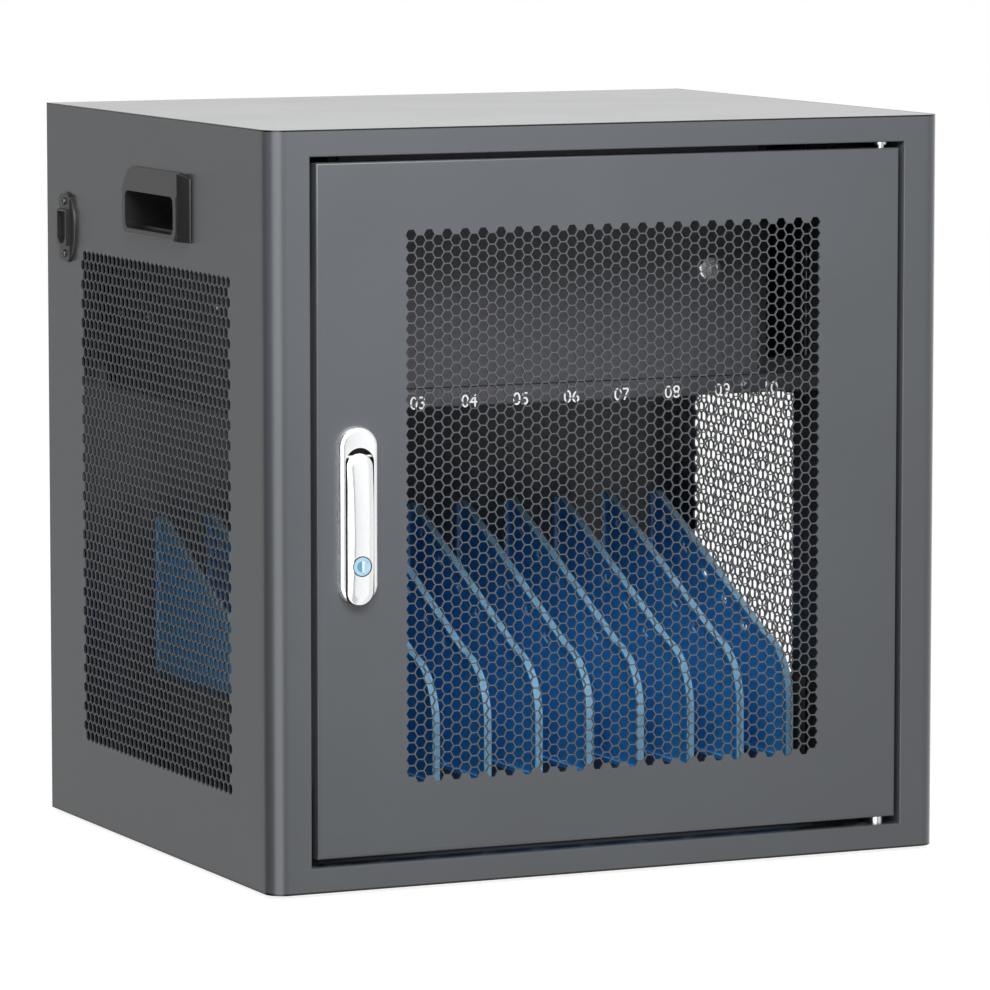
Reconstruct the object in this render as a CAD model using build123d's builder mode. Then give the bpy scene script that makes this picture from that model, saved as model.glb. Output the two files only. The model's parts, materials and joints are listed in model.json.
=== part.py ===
from build123d import *

import math
import os

# Laptop charging cabinet, free standing, in sheet steel. A hinged door with a
# honeycomb grille closes a chamber where ten laptops stand on edge between
# eleven dividers. An adapter bay with its own locked cover lies above them.
# Millimetres, +X to the right, +Y to the back, +Z up. The origin is on the
# floor, under the middle of the whole outline.

os.makedirs("parts", exist_ok=True)

# Case
BODY_W = 542.0
BODY_D = 445.0
BODY_H = 550.0
SHEET = 1.5
FOOT_H = 3.0
BEND_R = 14.0
WING = 20.0
FLANGE = 12.0
EDGE_R = 1.0
FOLD_R = 1.2

# Door opening
STILE = 31.5
TOP_RAIL = 19.5
BOTTOM_RAIL = 18.5
RETURN = 18.0

# Door
GAP_SIDE = 4.5
GAP_TOP = 4.5
GAP_BOTTOM = 6.0
DOOR_RETURN = 18.0
DOOR_EDGE_R = 1.2
STIFFENER_W = 12.0
STIFFENER_D = 9.0
STIFFENER_H = 440.0
STIFFENER_OFFSET = 181.0

# Honeycomb grilles
MESH_PITCH = 33.6
MESH_BAR = 4.0
DOOR_MESH_COLUMNS = 11
DOOR_MESH_ROWS = 11
DOOR_MESH_Z = 280.5
SIDE_MESH_COLUMNS = 8
SIDE_MESH_ROWS = 12
SIDE_MESH_DEPTH = 222.7
SIDE_MESH_Z = 254.0
SIDE_SPLIT_Z = 440.0

# Hinge
PIN_D = 6.0
PIN_FROM_OPENING = 15.5
PIN_BEHIND_FACE = 9.0
PIN_LENGTH = 26.0
PIN_HEAD_D = 9.0
PIN_HEAD_H = 2.5
BUSH_D = 11.0
BUSH_L = 12.0
RUNNING_FIT = 0.05
WASHER_D = 10.0
WASHER_T = 2.0
SEAT_GAP = 0.3

# Swing handle lock
LOCK_X = -204.4
LOCK_Z = 276.0
ESCUTCHEON_W = 31.0
ESCUTCHEON_H = 129.0
ESCUTCHEON_T = 6.5
ESCUTCHEON_EDGE = 2.5
RECESS_DEPTH = 5.1
LEVER_W = 20.5
LEVER_L = 110.0
LEVER_PROUD = 11.0
LEVER_TIP_PROUD = 8.0
LEVER_BACK = 2.0
LEVER_KNUCKLE_R = 2.6
LEVER_TRIM = 0.4
LEVER_SIDE_GAP = 1.0
LEVER_TOP_GAP = 4.0
LEVER_PIN_D = 2.4
LEVER_PIN_L = 26.0
LOCK_BARREL_D = 14.0
LOCK_BARREL_L = 21.0
LOCK_PLUG_D = 10.0
LOCK_PLUG_L = 19.0
LOCK_PLUG_BEHIND = 0.4
LOCK_BARREL_Z = 240.0
KEYWAY_W = 1.4
KEYWAY_L = 6.0
KEYWAY_DEPTH = 14.0
BARREL_ROOM = 5.0
BARREL_SINK = 0.2
HOUSING_W = 27.0
HOUSING_H = 118.0
HOUSING_D = 16.5
HOUSING_R = 3.0
HOUSING_POCKET = 14.0
SPINDLE_D = 9.0
SPINDLE_Z = 308.0
SPINDLE_NUT_D = 14.0
SPINDLE_NUT_T = 4.0
CAM_T = 3.0
CAM_W = 16.0
CAM_L = 52.0
CAM_CLEAR = 1.6

# Carry handles
CUP_DEPTH_AT = 215.0
CUP_Z = 488.7
CUP_L = 110.0
CUP_H = 50.5
CUP_PROUD = 7.0
CUP_TOP_PROUD = 1.5
CUP_CORNER_R = 9.0
CUP_EDGE_R = 1.5
CUP_MOUTH_L = 96.0
CUP_MOUTH_H = 28.0
CUP_MOUTH_R = 6.0
CUP_LOWER_RIM = 4.8
CUP_INSIDE = 34.0
CUP_WALL = 2.0
CUP_SCOOP_R = 24.0
CUP_FIT = 0.5

# Power inlet
INLET_TO_BACK = 44.0
INLET_Z = 459.5
INLET_FLANGE_W = 22.0
INLET_FLANGE_H = 50.0
INLET_FLANGE_T = 3.0
INLET_FLANGE_R = 4.0
INLET_COLLAR_PROUD = 5.5
INLET_COLLAR_WALL = 1.5
INLET_MOUTH_W = 16.5
INLET_MOUTH_H = 24.5
INLET_MOUTH_CUT = 5.0
INLET_POCKET = 17.0
INLET_BODY_L = 24.0
INLET_FIT = 0.5
BLADE_W = 4.0
BLADE_T = 2.0
BLADE_L = 11.5
BLADE_SPREAD = 7.0
EARTH_OFFSET = 4.0

# Inner frame
UPRIGHT_X = 226.0
UPRIGHT_FRONT = 96.0
UPRIGHT_WEB = 34.0
UPRIGHT_FLANGE = 30.0
BAY_SIDE_FRONT = 133.0
BAY_SIDE_LOW = 333.0

# Adapter bay
SHELF_Z = 349.0
SHELF_FRONT = 133.0
RAIL_DEPTH_AT = 106.0
RAIL_LIP = 20.0
RAIL_FLANGE = 10.0
BAY_FRAME_DEPTH_AT = 107.5
BAY_WINDOW_HALF = 160.0
BAY_WINDOW_LOW = 366.0
BAY_WINDOW_H = 162.0
BAY_SIDE_WINDOW_W = 38.0
BAY_BAR = 20.0
BAY_WINDOW_R = 4.0

# Bay cover
COVER_W = 344.0
COVER_LOW = 354.5
COVER_H = 184.0
COVER_R = 3.0
BAY_LOCK_X = 131.0
BAY_LOCK_Z = 435.5
BAY_LOCK_HEAD_D = 18.0
BAY_LOCK_HEAD_T = 3.0
BAY_LOCK_BARREL_D = 15.0
BAY_LOCK_BARREL_L = 5.0
BAY_KEYWAY_DEPTH = 6.0
BAY_PLUG_D = 11.0
BAY_CAM_L = 44.0
BAY_CAM_W = 14.0
BAY_CAM_T = 2.0

# Outlets
STRIP_L = 428.0
STRIP_H = 46.0
STRIP_D = 34.0
STRIP_Z = 402.0
STRIP_R = 3.0
OUTLET_COUNT = 10
OUTLET_SIZE = 36.0
OUTLET_T = 2.0
OUTLET_SLIT_L = 8.0
OUTLET_SLIT_W = 2.2

# Laptop rack
RACK_FLOOR_Z = 53.0
RACK_FRONT = 118.0
RACK_REAR = 376.0
RACK_WIDTH = 439.0
RACK_SIDE_TOP = 103.0
DIVIDER_COUNT = 11
DIVIDER_PITCH = 42.4
DIVIDER_FRONT = 127.0
DIVIDER_REAR = 366.0
DIVIDER_T = 2.0
DIVIDER_STRAIGHT = 98.0
DIVIDER_KNEE_Y = 168.0
DIVIDER_KNEE_Z = 147.0
DIVIDER_TOP_Z = 243.0
DIVIDER_CORNER_R = 8.0
RIM_W = 6.0
RIM_T = 3.0
SLOT_COUNT = 5
SLOT_PITCH = 38.0
SLOT_L = 9.0
SLOT_W = 5.0
SLOT_INSET = 14.0
SLOT_START = 32.0

# Feet
FOOT_D = 30.0
FOOT_INSET_X = 45.0
FOOT_INSET_Y = 45.0
FOOT_RECESS_D = 12.0
FOOT_RECESS = 1.5

# Derived places
FRONT = LEVER_PROUD / 2 - BODY_D / 2
BACK = FRONT + BODY_D
BASE = FOOT_H
TOP = BASE + BODY_H
HALF_W = BODY_W / 2
OPEN_HALF = HALF_W - STILE
OPEN_LOW = BASE + BOTTOM_RAIL
OPEN_TOP = TOP - TOP_RAIL
DOOR_HALF = OPEN_HALF - GAP_SIDE
DOOR_LOW = OPEN_LOW + GAP_BOTTOM
DOOR_TOP = OPEN_TOP - GAP_TOP
PIN_X = OPEN_HALF - PIN_FROM_OPENING
PIN_Y = FRONT + PIN_BEHIND_FACE
MESH_HOLE_R = (MESH_PITCH - MESH_BAR) / 2
INNER_W = BODY_W - 2 * SHEET


def across(y):
    """Return the upright plane at depth y, with sketch axes X and Z."""
    return Plane.XZ.offset(-y)


def beside(x):
    """Return the upright plane at width x, with sketch axes Y and Z."""
    return Plane.YZ.offset(x)


def middle(low, high):
    """Return the middle of a span."""
    return (low + high) / 2


# Front frame, wrapped round both front corners of the case
with BuildPart() as front_frame:
    with BuildSketch(Plane.XY.offset(BASE)) as wrap_outside:
        with Locations((0, FRONT + WING / 2)):
            Rectangle(BODY_W, WING)
        fillet(wrap_outside.vertices().group_by(Axis.Y)[0], BEND_R)
    extrude(amount=BODY_H)
    with BuildSketch(Plane.XY.offset(BASE)) as wrap_inside:
        with Locations((0, FRONT + SHEET + WING / 2)):
            Rectangle(INNER_W, WING)
        fillet(wrap_inside.vertices().group_by(Axis.Y)[0], BEND_R - SHEET)
    extrude(amount=BODY_H, mode=Mode.SUBTRACT)
    with BuildSketch(across(FRONT)) as opening_ring:
        with Locations((0, middle(OPEN_LOW, OPEN_TOP))):
            Rectangle(2 * (OPEN_HALF + SHEET), OPEN_TOP - OPEN_LOW + 2 * SHEET)
    extrude(amount=-RETURN)
    with BuildSketch(across(FRONT)) as opening_cut:
        with Locations((0, middle(OPEN_LOW, OPEN_TOP))):
            Rectangle(2 * OPEN_HALF, OPEN_TOP - OPEN_LOW)
    extrude(amount=-RETURN, mode=Mode.SUBTRACT)
    with BuildSketch(Plane.XY.offset(OPEN_LOW - SHEET)):
        with Locations((PIN_X, PIN_Y)):
            Circle(PIN_D / 2)
    extrude(amount=OPEN_TOP - OPEN_LOW + 2 * SHEET, mode=Mode.SUBTRACT)
    fillet(front_frame.faces().sort_by(Axis.Y)[0].inner_wires()[0].edges(), FOLD_R)
front_frame.part.label = "front_frame"
export_step(front_frame.part, "parts/front_frame.step")


def side_grille(plane_x):
    """Return the honeycomb holes of one side sheet."""
    with BuildSketch(beside(plane_x)) as holes:
        with Locations(Location((FRONT + SIDE_MESH_DEPTH, SIDE_MESH_Z, 0), (0, 0, 90))):
            with HexLocations(MESH_PITCH / 2, SIDE_MESH_ROWS, SIDE_MESH_COLUMNS):
                RegularPolygon(MESH_HOLE_R, 6, major_radius=False)
    return holes.sketch


def side_sheet(plane_x, low, high):
    """Return the plain rectangle of one side sheet."""
    with BuildSketch(beside(plane_x)) as sheet:
        with Locations((middle(FRONT + WING, BACK), middle(low, high))):
            Rectangle(BODY_D - WING, high - low)
    return sheet.sketch


def cup_hole(plane_x):
    """Return the hole that a carry handle needs in one side sheet."""
    with BuildSketch(beside(plane_x)) as hole:
        with Locations((FRONT + CUP_DEPTH_AT, CUP_Z)):
            RectangleRounded(
                CUP_MOUTH_L + 2 * (CUP_WALL + CUP_FIT),
                CUP_H - 2 * CUP_LOWER_RIM + 2 * CUP_FIT,
                CUP_EDGE_R,
            )
    return hole.sketch


# Side sheets, perforated below and plain above, flush with the front wrap
with BuildPart() as left_side_panel:
    extrude(side_sheet(-HALF_W, BASE, SIDE_SPLIT_Z), amount=SHEET)
    extrude(side_grille(-HALF_W), amount=SHEET, mode=Mode.SUBTRACT)
left_side_panel.part.label = "left_side_panel"
export_step(left_side_panel.part, "parts/left_side_panel.step")

with BuildPart() as right_side_panel:
    extrude(side_sheet(HALF_W - SHEET, BASE, SIDE_SPLIT_Z), amount=SHEET)
    extrude(side_grille(HALF_W - SHEET), amount=SHEET, mode=Mode.SUBTRACT)
right_side_panel.part.label = "right_side_panel"
export_step(right_side_panel.part, "parts/right_side_panel.step")

INLET_BODY_W = INLET_MOUTH_W + 2 * INLET_COLLAR_WALL
INLET_BODY_H = INLET_MOUTH_H + 2 * INLET_COLLAR_WALL
INLET_Y = BACK - INLET_TO_BACK

with BuildPart() as left_side_upper:
    extrude(side_sheet(-HALF_W, SIDE_SPLIT_Z, TOP), amount=SHEET)
    extrude(cup_hole(-HALF_W), amount=SHEET, mode=Mode.SUBTRACT)
    with BuildSketch(beside(-HALF_W)):
        with Locations((INLET_Y, INLET_Z)):
            Rectangle(INLET_BODY_W + 2 * INLET_FIT, INLET_BODY_H + 2 * INLET_FIT)
    extrude(amount=SHEET, mode=Mode.SUBTRACT)
left_side_upper.part.label = "left_side_upper"
export_step(left_side_upper.part, "parts/left_side_upper.step")

with BuildPart() as right_side_upper:
    extrude(side_sheet(HALF_W - SHEET, SIDE_SPLIT_Z, TOP), amount=SHEET)
    extrude(cup_hole(HALF_W - SHEET), amount=SHEET, mode=Mode.SUBTRACT)
right_side_upper.part.label = "right_side_upper"
export_step(right_side_upper.part, "parts/right_side_upper.step")

# Top and bottom trays, folded down and up inside the case walls
TRAY_FRONT = FRONT + SHEET
TRAY_D = BACK - TRAY_FRONT
TRAY_Y = middle(TRAY_FRONT, BACK)

with BuildPart() as top_panel:
    with BuildSketch(Plane.XY.offset(TOP - FLANGE)) as tray:
        with Locations((0, TRAY_Y)):
            Rectangle(INNER_W, TRAY_D)
        fillet(tray.vertices().group_by(Axis.Y)[0], BEND_R - SHEET)
    extrude(amount=FLANGE)
    fillet(top_panel.faces().sort_by(Axis.Z)[-1].edges(), EDGE_R)
    with BuildSketch(Plane.XY.offset(TOP - FLANGE)) as tray:
        with Locations((0, TRAY_Y)):
            Rectangle(INNER_W - 2 * SHEET, TRAY_D - 2 * SHEET)
        fillet(tray.vertices().group_by(Axis.Y)[0], BEND_R - 2 * SHEET)
    extrude(amount=FLANGE - SHEET, mode=Mode.SUBTRACT)
top_panel.part.label = "top_panel"
export_step(top_panel.part, "parts/top_panel.step")

with BuildPart() as bottom_panel:
    with BuildSketch(Plane.XY.offset(BASE)) as tray:
        with Locations((0, TRAY_Y)):
            Rectangle(INNER_W, TRAY_D)
        fillet(tray.vertices().group_by(Axis.Y)[0], BEND_R - SHEET)
    extrude(amount=FLANGE)
    fillet(bottom_panel.faces().sort_by(Axis.Z)[0].edges(), EDGE_R)
    with BuildSketch(Plane.XY.offset(BASE + SHEET)) as tray:
        with Locations((0, TRAY_Y)):
            Rectangle(INNER_W - 2 * SHEET, TRAY_D - 2 * SHEET)
        fillet(tray.vertices().group_by(Axis.Y)[0], BEND_R - 2 * SHEET)
    extrude(amount=FLANGE - SHEET, mode=Mode.SUBTRACT)
bottom_panel.part.label = "bottom_panel"
export_step(bottom_panel.part, "parts/bottom_panel.step")

# Back panel, a shallow tray between the top and bottom folds
BACK_LOW = BASE + FLANGE
BACK_TOP = TOP - FLANGE

with BuildPart() as back_panel:
    with BuildSketch(across(BACK)):
        with Locations((0, middle(BACK_LOW, BACK_TOP))):
            Rectangle(INNER_W, BACK_TOP - BACK_LOW)
    extrude(amount=FLANGE)
    fillet(back_panel.faces().sort_by(Axis.Y)[-1].edges(), EDGE_R)
    with BuildSketch(across(BACK - SHEET)):
        with Locations((0, middle(BACK_LOW, BACK_TOP))):
            Rectangle(INNER_W - 2 * SHEET, BACK_TOP - BACK_LOW - 2 * SHEET)
    extrude(amount=FLANGE, mode=Mode.SUBTRACT)
back_panel.part.label = "back_panel"
export_step(back_panel.part, "parts/back_panel.step")

# Recessed carry handles, one moulding on each side, mirrored
CUP_LOW = CUP_Z - CUP_H / 2
CUP_TOP = CUP_Z + CUP_H / 2
CUP_Y = FRONT + CUP_DEPTH_AT
MOUTH_LOW = CUP_LOW + CUP_LOWER_RIM
MOUTH_TOP = MOUTH_LOW + CUP_MOUTH_H
CUP_BODY_H = CUP_H - 2 * CUP_LOWER_RIM
CUP_BODY_L = CUP_MOUTH_L + 2 * CUP_WALL

with BuildPart() as left_handle_cup:
    # Bezel with a hood that slopes back to the sheet above the mouth
    with BuildSketch(across(CUP_Y + CUP_L / 2)):
        with BuildLine():
            Polyline(
                (-HALF_W, CUP_LOW),
                (-HALF_W - CUP_PROUD, CUP_LOW),
                (-HALF_W - CUP_PROUD, MOUTH_TOP),
                (-HALF_W - CUP_TOP_PROUD, CUP_TOP),
                (-HALF_W, CUP_TOP),
                close=True,
            )
        make_face()
    extrude(amount=CUP_L)
    fillet(left_handle_cup.edges().filter_by(Axis.X), CUP_CORNER_R)
    fillet(left_handle_cup.faces().sort_by(Axis.X)[0].edges(), CUP_EDGE_R)
    # Cup body behind the sheet, rounded in below
    with BuildSketch(across(CUP_Y + CUP_BODY_L / 2)) as cup_body:
        with Locations((-HALF_W + CUP_INSIDE / 2, CUP_Z)):
            Rectangle(CUP_INSIDE, CUP_BODY_H)
        fillet(cup_body.vertices().group_by(Axis.X)[-1].sort_by(Axis.Y)[0], CUP_SCOOP_R + CUP_WALL)
    extrude(amount=CUP_BODY_L)
    # Mouth, and the finger room that curves in and up behind the hood
    with BuildSketch(beside(-HALF_W - CUP_PROUD)):
        with Locations((CUP_Y, middle(MOUTH_LOW, MOUTH_TOP))):
            RectangleRounded(CUP_MOUTH_L, CUP_MOUTH_H, CUP_MOUTH_R)
    extrude(amount=CUP_PROUD + CUP_WALL, mode=Mode.SUBTRACT)
    with BuildSketch(across(CUP_Y + CUP_MOUTH_L / 2)) as scoop:
        with Locations((-HALF_W + CUP_INSIDE / 2, CUP_Z)):
            Rectangle(CUP_INSIDE - 2 * CUP_WALL, CUP_BODY_H - 2 * CUP_WALL)
        fillet(scoop.vertices().group_by(Axis.X)[-1].sort_by(Axis.Y)[0], CUP_SCOOP_R)
    extrude(amount=CUP_MOUTH_L, mode=Mode.SUBTRACT)
left_handle_cup.part.label = "left_handle_cup"
export_step(left_handle_cup.part, "parts/left_handle_cup.step")

with BuildPart() as right_handle_cup:
    add(left_handle_cup.part)
    mirror(about=Plane.YZ, mode=Mode.REPLACE)
right_handle_cup.part.label = "right_handle_cup"
export_step(right_handle_cup.part, "parts/right_handle_cup.step")

# Appliance inlet on the left side, standing on end
with BuildPart() as power_inlet:
    with BuildSketch(beside(-HALF_W)):
        with Locations((INLET_Y, INLET_Z)):
            RectangleRounded(INLET_FLANGE_W, INLET_FLANGE_H, INLET_FLANGE_R)
    extrude(amount=-INLET_FLANGE_T)
    with BuildSketch(beside(-HALF_W - INLET_COLLAR_PROUD)):
        with Locations((INLET_Y, INLET_Z)):
            Rectangle(INLET_BODY_W, INLET_BODY_H)
    extrude(amount=INLET_COLLAR_PROUD + INLET_BODY_L)
    with BuildSketch(beside(-HALF_W - INLET_COLLAR_PROUD)) as mouth:
        with Locations((INLET_Y, INLET_Z)):
            Rectangle(INLET_MOUTH_W, INLET_MOUTH_H)
        chamfer(mouth.vertices().group_by(Axis.Y)[0], INLET_MOUTH_CUT)
    extrude(amount=INLET_POCKET, mode=Mode.SUBTRACT)
power_inlet.part.label = "power_inlet"
export_step(power_inlet.part, "parts/power_inlet.step")

with BuildPart() as inlet_pins:
    with BuildSketch(beside(-HALF_W - INLET_COLLAR_PROUD + INLET_POCKET)):
        with Locations((INLET_Y + EARTH_OFFSET / 2, INLET_Z + BLADE_SPREAD), (INLET_Y + EARTH_OFFSET / 2, INLET_Z - BLADE_SPREAD)):
            Rectangle(BLADE_W, BLADE_T)
        with Locations((INLET_Y - EARTH_OFFSET / 2, INLET_Z)):
            Rectangle(BLADE_W, BLADE_T)
    extrude(amount=-BLADE_L)
inlet_pins.part.label = "inlet_pins"
export_step(inlet_pins.part, "parts/inlet_pins.step")


# Hinge pins through the frame folds, each with its head beyond the fold
PIN_TOP_SEAT = OPEN_TOP + SHEET
PIN_LOW_SEAT = OPEN_LOW - SHEET

with BuildPart() as hinge_pin_top:
    with Locations((PIN_X, PIN_Y, PIN_TOP_SEAT)):
        Cylinder(PIN_D / 2, PIN_LENGTH, align=(Align.CENTER, Align.CENTER, Align.MAX))
        Cylinder(PIN_HEAD_D / 2, PIN_HEAD_H, align=(Align.CENTER, Align.CENTER, Align.MIN))
hinge_pin_top.part.label = "hinge_pin_top"
export_step(hinge_pin_top.part, "parts/hinge_pin_top.step")

with BuildPart() as hinge_pin_bottom:
    with Locations((PIN_X, PIN_Y, PIN_LOW_SEAT)):
        Cylinder(PIN_D / 2, PIN_LENGTH, align=(Align.CENTER, Align.CENTER, Align.MIN))
        Cylinder(PIN_HEAD_D / 2, PIN_HEAD_H, align=(Align.CENTER, Align.CENTER, Align.MAX))
hinge_pin_bottom.part.label = "hinge_pin_bottom"
export_step(hinge_pin_bottom.part, "parts/hinge_pin_bottom.step")

# Washers, one under the top fold and one that carries the door from below
with BuildPart() as hinge_washer_top:
    with Locations((PIN_X, PIN_Y, OPEN_TOP)):
        Cylinder(WASHER_D / 2, WASHER_T, align=(Align.CENTER, Align.CENTER, Align.MAX))
        Cylinder(PIN_D / 2, WASHER_T, align=(Align.CENTER, Align.CENTER, Align.MAX), mode=Mode.SUBTRACT)
hinge_washer_top.part.label = "hinge_washer_top"
export_step(hinge_washer_top.part, "parts/hinge_washer_top.step")

with BuildPart() as hinge_washer_bottom:
    with Locations((PIN_X, PIN_Y, OPEN_LOW)):
        Cylinder(WASHER_D / 2, GAP_BOTTOM - SEAT_GAP, align=(Align.CENTER, Align.CENTER, Align.MIN))
        Cylinder(PIN_D / 2, GAP_BOTTOM, align=(Align.CENTER, Align.CENTER, Align.MIN), mode=Mode.SUBTRACT)
hinge_washer_bottom.part.label = "hinge_washer_bottom"
export_step(hinge_washer_bottom.part, "parts/hinge_washer_bottom.step")

# Inner frame: two folded uprights, one behind each stile
UPRIGHT_LOW = BASE + SHEET
UPRIGHT_TOP = TOP - SHEET

with BuildPart() as left_upright:
    with BuildSketch(Plane.XY.offset(UPRIGHT_LOW)):
        with Locations((-UPRIGHT_X, FRONT + UPRIGHT_FRONT)):
            Rectangle(SHEET, UPRIGHT_WEB, align=(Align.MAX, Align.MIN))
            Rectangle(UPRIGHT_FLANGE, SHEET, align=(Align.MAX, Align.MIN))
    extrude(amount=UPRIGHT_TOP - UPRIGHT_LOW)
left_upright.part.label = "left_upright"
export_step(left_upright.part, "parts/left_upright.step")

with BuildPart() as right_upright:
    add(left_upright.part)
    mirror(about=Plane.YZ, mode=Mode.REPLACE)
right_upright.part.label = "right_upright"
export_step(right_upright.part, "parts/right_upright.step")

# Bay side plates, from the shelf to the top, against the back panel
BAY_SIDE_D = BODY_D - FLANGE - BAY_SIDE_FRONT
BAY_SIDE_Y = FRONT + BAY_SIDE_FRONT + BAY_SIDE_D / 2

with BuildPart() as left_bay_side:
    with BuildSketch(beside(-UPRIGHT_X)):
        with Locations((BAY_SIDE_Y, middle(BAY_SIDE_LOW, UPRIGHT_TOP))):
            Rectangle(BAY_SIDE_D, UPRIGHT_TOP - BAY_SIDE_LOW)
    extrude(amount=-SHEET)
left_bay_side.part.label = "left_bay_side"
export_step(left_bay_side.part, "parts/left_bay_side.step")

with BuildPart() as right_bay_side:
    add(left_bay_side.part)
    mirror(about=Plane.YZ, mode=Mode.REPLACE)
right_bay_side.part.label = "right_bay_side"
export_step(right_bay_side.part, "parts/right_bay_side.step")

# Adapter shelf, folded up at the back, between the bay side plates
SHELF_BACK = BODY_D - SHEET

with BuildPart() as adapter_shelf:
    with BuildSketch(Plane.XY.offset(SHELF_Z)):
        with Locations((0, FRONT + middle(SHELF_FRONT, SHELF_BACK))):
            Rectangle(2 * UPRIGHT_X, SHELF_BACK - SHELF_FRONT)
    extrude(amount=-SHEET)
    with BuildSketch(across(FRONT + SHELF_BACK)):
        with Locations((0, SHELF_Z + FLANGE / 2)):
            Rectangle(2 * UPRIGHT_X, FLANGE)
    extrude(amount=SHEET)
adapter_shelf.part.label = "adapter_shelf"
export_step(adapter_shelf.part, "parts/adapter_shelf.step")

# Numbered front rail, a folded lip that closes the cable gap in front
with BuildPart() as cable_rail:
    with BuildSketch(beside(-UPRIGHT_X)):
        with Locations((FRONT + RAIL_DEPTH_AT, SHELF_Z)):
            Rectangle(SHEET, RAIL_LIP, align=(Align.MIN, Align.MAX))
            Rectangle(RAIL_FLANGE, SHEET, align=(Align.MIN, Align.MAX))
    extrude(amount=2 * UPRIGHT_X)
    fillet(cable_rail.edges().filter_by(Axis.X).group_by(Axis.Y)[0].sort_by(Axis.Z)[-1], EDGE_R)
cable_rail.part.label = "cable_rail"
export_step(cable_rail.part, "parts/cable_rail.step")

# Bay frame, a sheet with one wide window and one narrow window at each end
BAY_FRAME_Y = FRONT + BAY_FRAME_DEPTH_AT
BAY_FRAME_TOP = TOP - FLANGE
BAY_WINDOW_Z = BAY_WINDOW_LOW + BAY_WINDOW_H / 2
SIDE_WINDOW_X = BAY_WINDOW_HALF + BAY_BAR + BAY_SIDE_WINDOW_W / 2

with BuildPart() as bay_frame:
    with BuildSketch(across(BAY_FRAME_Y)):
        with Locations((0, middle(SHELF_Z, BAY_FRAME_TOP))):
            Rectangle(2 * UPRIGHT_X, BAY_FRAME_TOP - SHELF_Z)
        with Locations((0, BAY_WINDOW_Z)):
            RectangleRounded(2 * BAY_WINDOW_HALF, BAY_WINDOW_H, BAY_WINDOW_R, mode=Mode.SUBTRACT)
        with Locations((-SIDE_WINDOW_X, BAY_WINDOW_Z), (SIDE_WINDOW_X, BAY_WINDOW_Z)):
            RectangleRounded(BAY_SIDE_WINDOW_W, BAY_WINDOW_H, BAY_WINDOW_R, mode=Mode.SUBTRACT)
    extrude(amount=-SHEET)
bay_frame.part.label = "bay_frame"
export_step(bay_frame.part, "parts/bay_frame.step")

# Bay cover, a flat sheet that lies on the bay frame and lifts off forwards
COVER_Z = COVER_LOW + COVER_H / 2
BAY_BARREL_HOLE_D = BAY_LOCK_BARREL_D + 2 * RUNNING_FIT

with BuildPart() as bay_cover:
    with BuildSketch(across(BAY_FRAME_Y)):
        with Locations((0, COVER_Z)):
            RectangleRounded(COVER_W, COVER_H, COVER_R)
        with Locations((BAY_LOCK_X, BAY_LOCK_Z)):
            Circle(BAY_BARREL_HOLE_D / 2, mode=Mode.SUBTRACT)
    extrude(amount=SHEET)
bay_cover.part.label = "bay_cover"
export_step(bay_cover.part, "parts/bay_cover.step")

# Bay lock: a barrel in the cover and a plug that carries the small cam
COVER_FACE_Y = BAY_FRAME_Y - SHEET
BAY_BORE_D = BAY_PLUG_D + 2 * RUNNING_FIT
BAY_CAM_Y = COVER_FACE_Y + BAY_LOCK_BARREL_L

with BuildPart() as bay_lock_barrel:
    with BuildSketch(across(COVER_FACE_Y)):
        with Locations((BAY_LOCK_X, BAY_LOCK_Z)):
            Circle(BAY_LOCK_HEAD_D / 2)
    extrude(amount=BAY_LOCK_HEAD_T)
    chamfer(bay_lock_barrel.faces().sort_by(Axis.Y)[0].edges(), BAY_LOCK_HEAD_T / 3)
    with BuildSketch(across(COVER_FACE_Y)):
        with Locations((BAY_LOCK_X, BAY_LOCK_Z)):
            Circle(BAY_LOCK_BARREL_D / 2)
    extrude(amount=-BAY_LOCK_BARREL_L)
    with BuildSketch(across(COVER_FACE_Y - BAY_LOCK_HEAD_T)):
        with Locations((BAY_LOCK_X, BAY_LOCK_Z)):
            Circle(BAY_BORE_D / 2)
    extrude(amount=-BAY_LOCK_HEAD_T - BAY_LOCK_BARREL_L, mode=Mode.SUBTRACT)
bay_lock_barrel.part.label = "bay_lock_barrel"
export_step(bay_lock_barrel.part, "parts/bay_lock_barrel.step")

with BuildPart() as bay_lock_plug:
    with BuildSketch(across(COVER_FACE_Y - BAY_LOCK_HEAD_T + LOCK_PLUG_BEHIND)):
        with Locations((BAY_LOCK_X, BAY_LOCK_Z)):
            Circle(BAY_PLUG_D / 2)
    extrude(amount=-BAY_LOCK_HEAD_T - BAY_LOCK_BARREL_L - SEAT_GAP)
    with BuildSketch(across(COVER_FACE_Y - BAY_LOCK_HEAD_T)):
        with Locations((BAY_LOCK_X, BAY_LOCK_Z)):
            Rectangle(KEYWAY_W, KEYWAY_L)
    extrude(amount=-BAY_KEYWAY_DEPTH, mode=Mode.SUBTRACT)
    with BuildSketch(across(BAY_CAM_Y + SEAT_GAP)):
        with Locations((BAY_LOCK_X, BAY_LOCK_Z - BAY_CAM_L / 2 + BAY_CAM_W / 2)):
            SlotOverall(BAY_CAM_L, BAY_CAM_W, rotation=90)
    extrude(amount=-BAY_CAM_T)
bay_lock_plug.part.label = "bay_lock_plug"
export_step(bay_lock_plug.part, "parts/bay_lock_plug.step")

# Outlet strip along the back of the bay, and the row of outlet faces in it
STRIP_FACE_Y = BACK - SHEET - STRIP_D

with BuildPart() as outlet_strip:
    with BuildSketch(across(BACK - SHEET)):
        with Locations((0, STRIP_Z)):
            Rectangle(STRIP_L, STRIP_H)
    extrude(amount=STRIP_D)
    fillet(outlet_strip.faces().sort_by(Axis.Y)[0].edges(), STRIP_R)
outlet_strip.part.label = "outlet_strip"
export_step(outlet_strip.part, "parts/outlet_strip.step")

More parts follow.
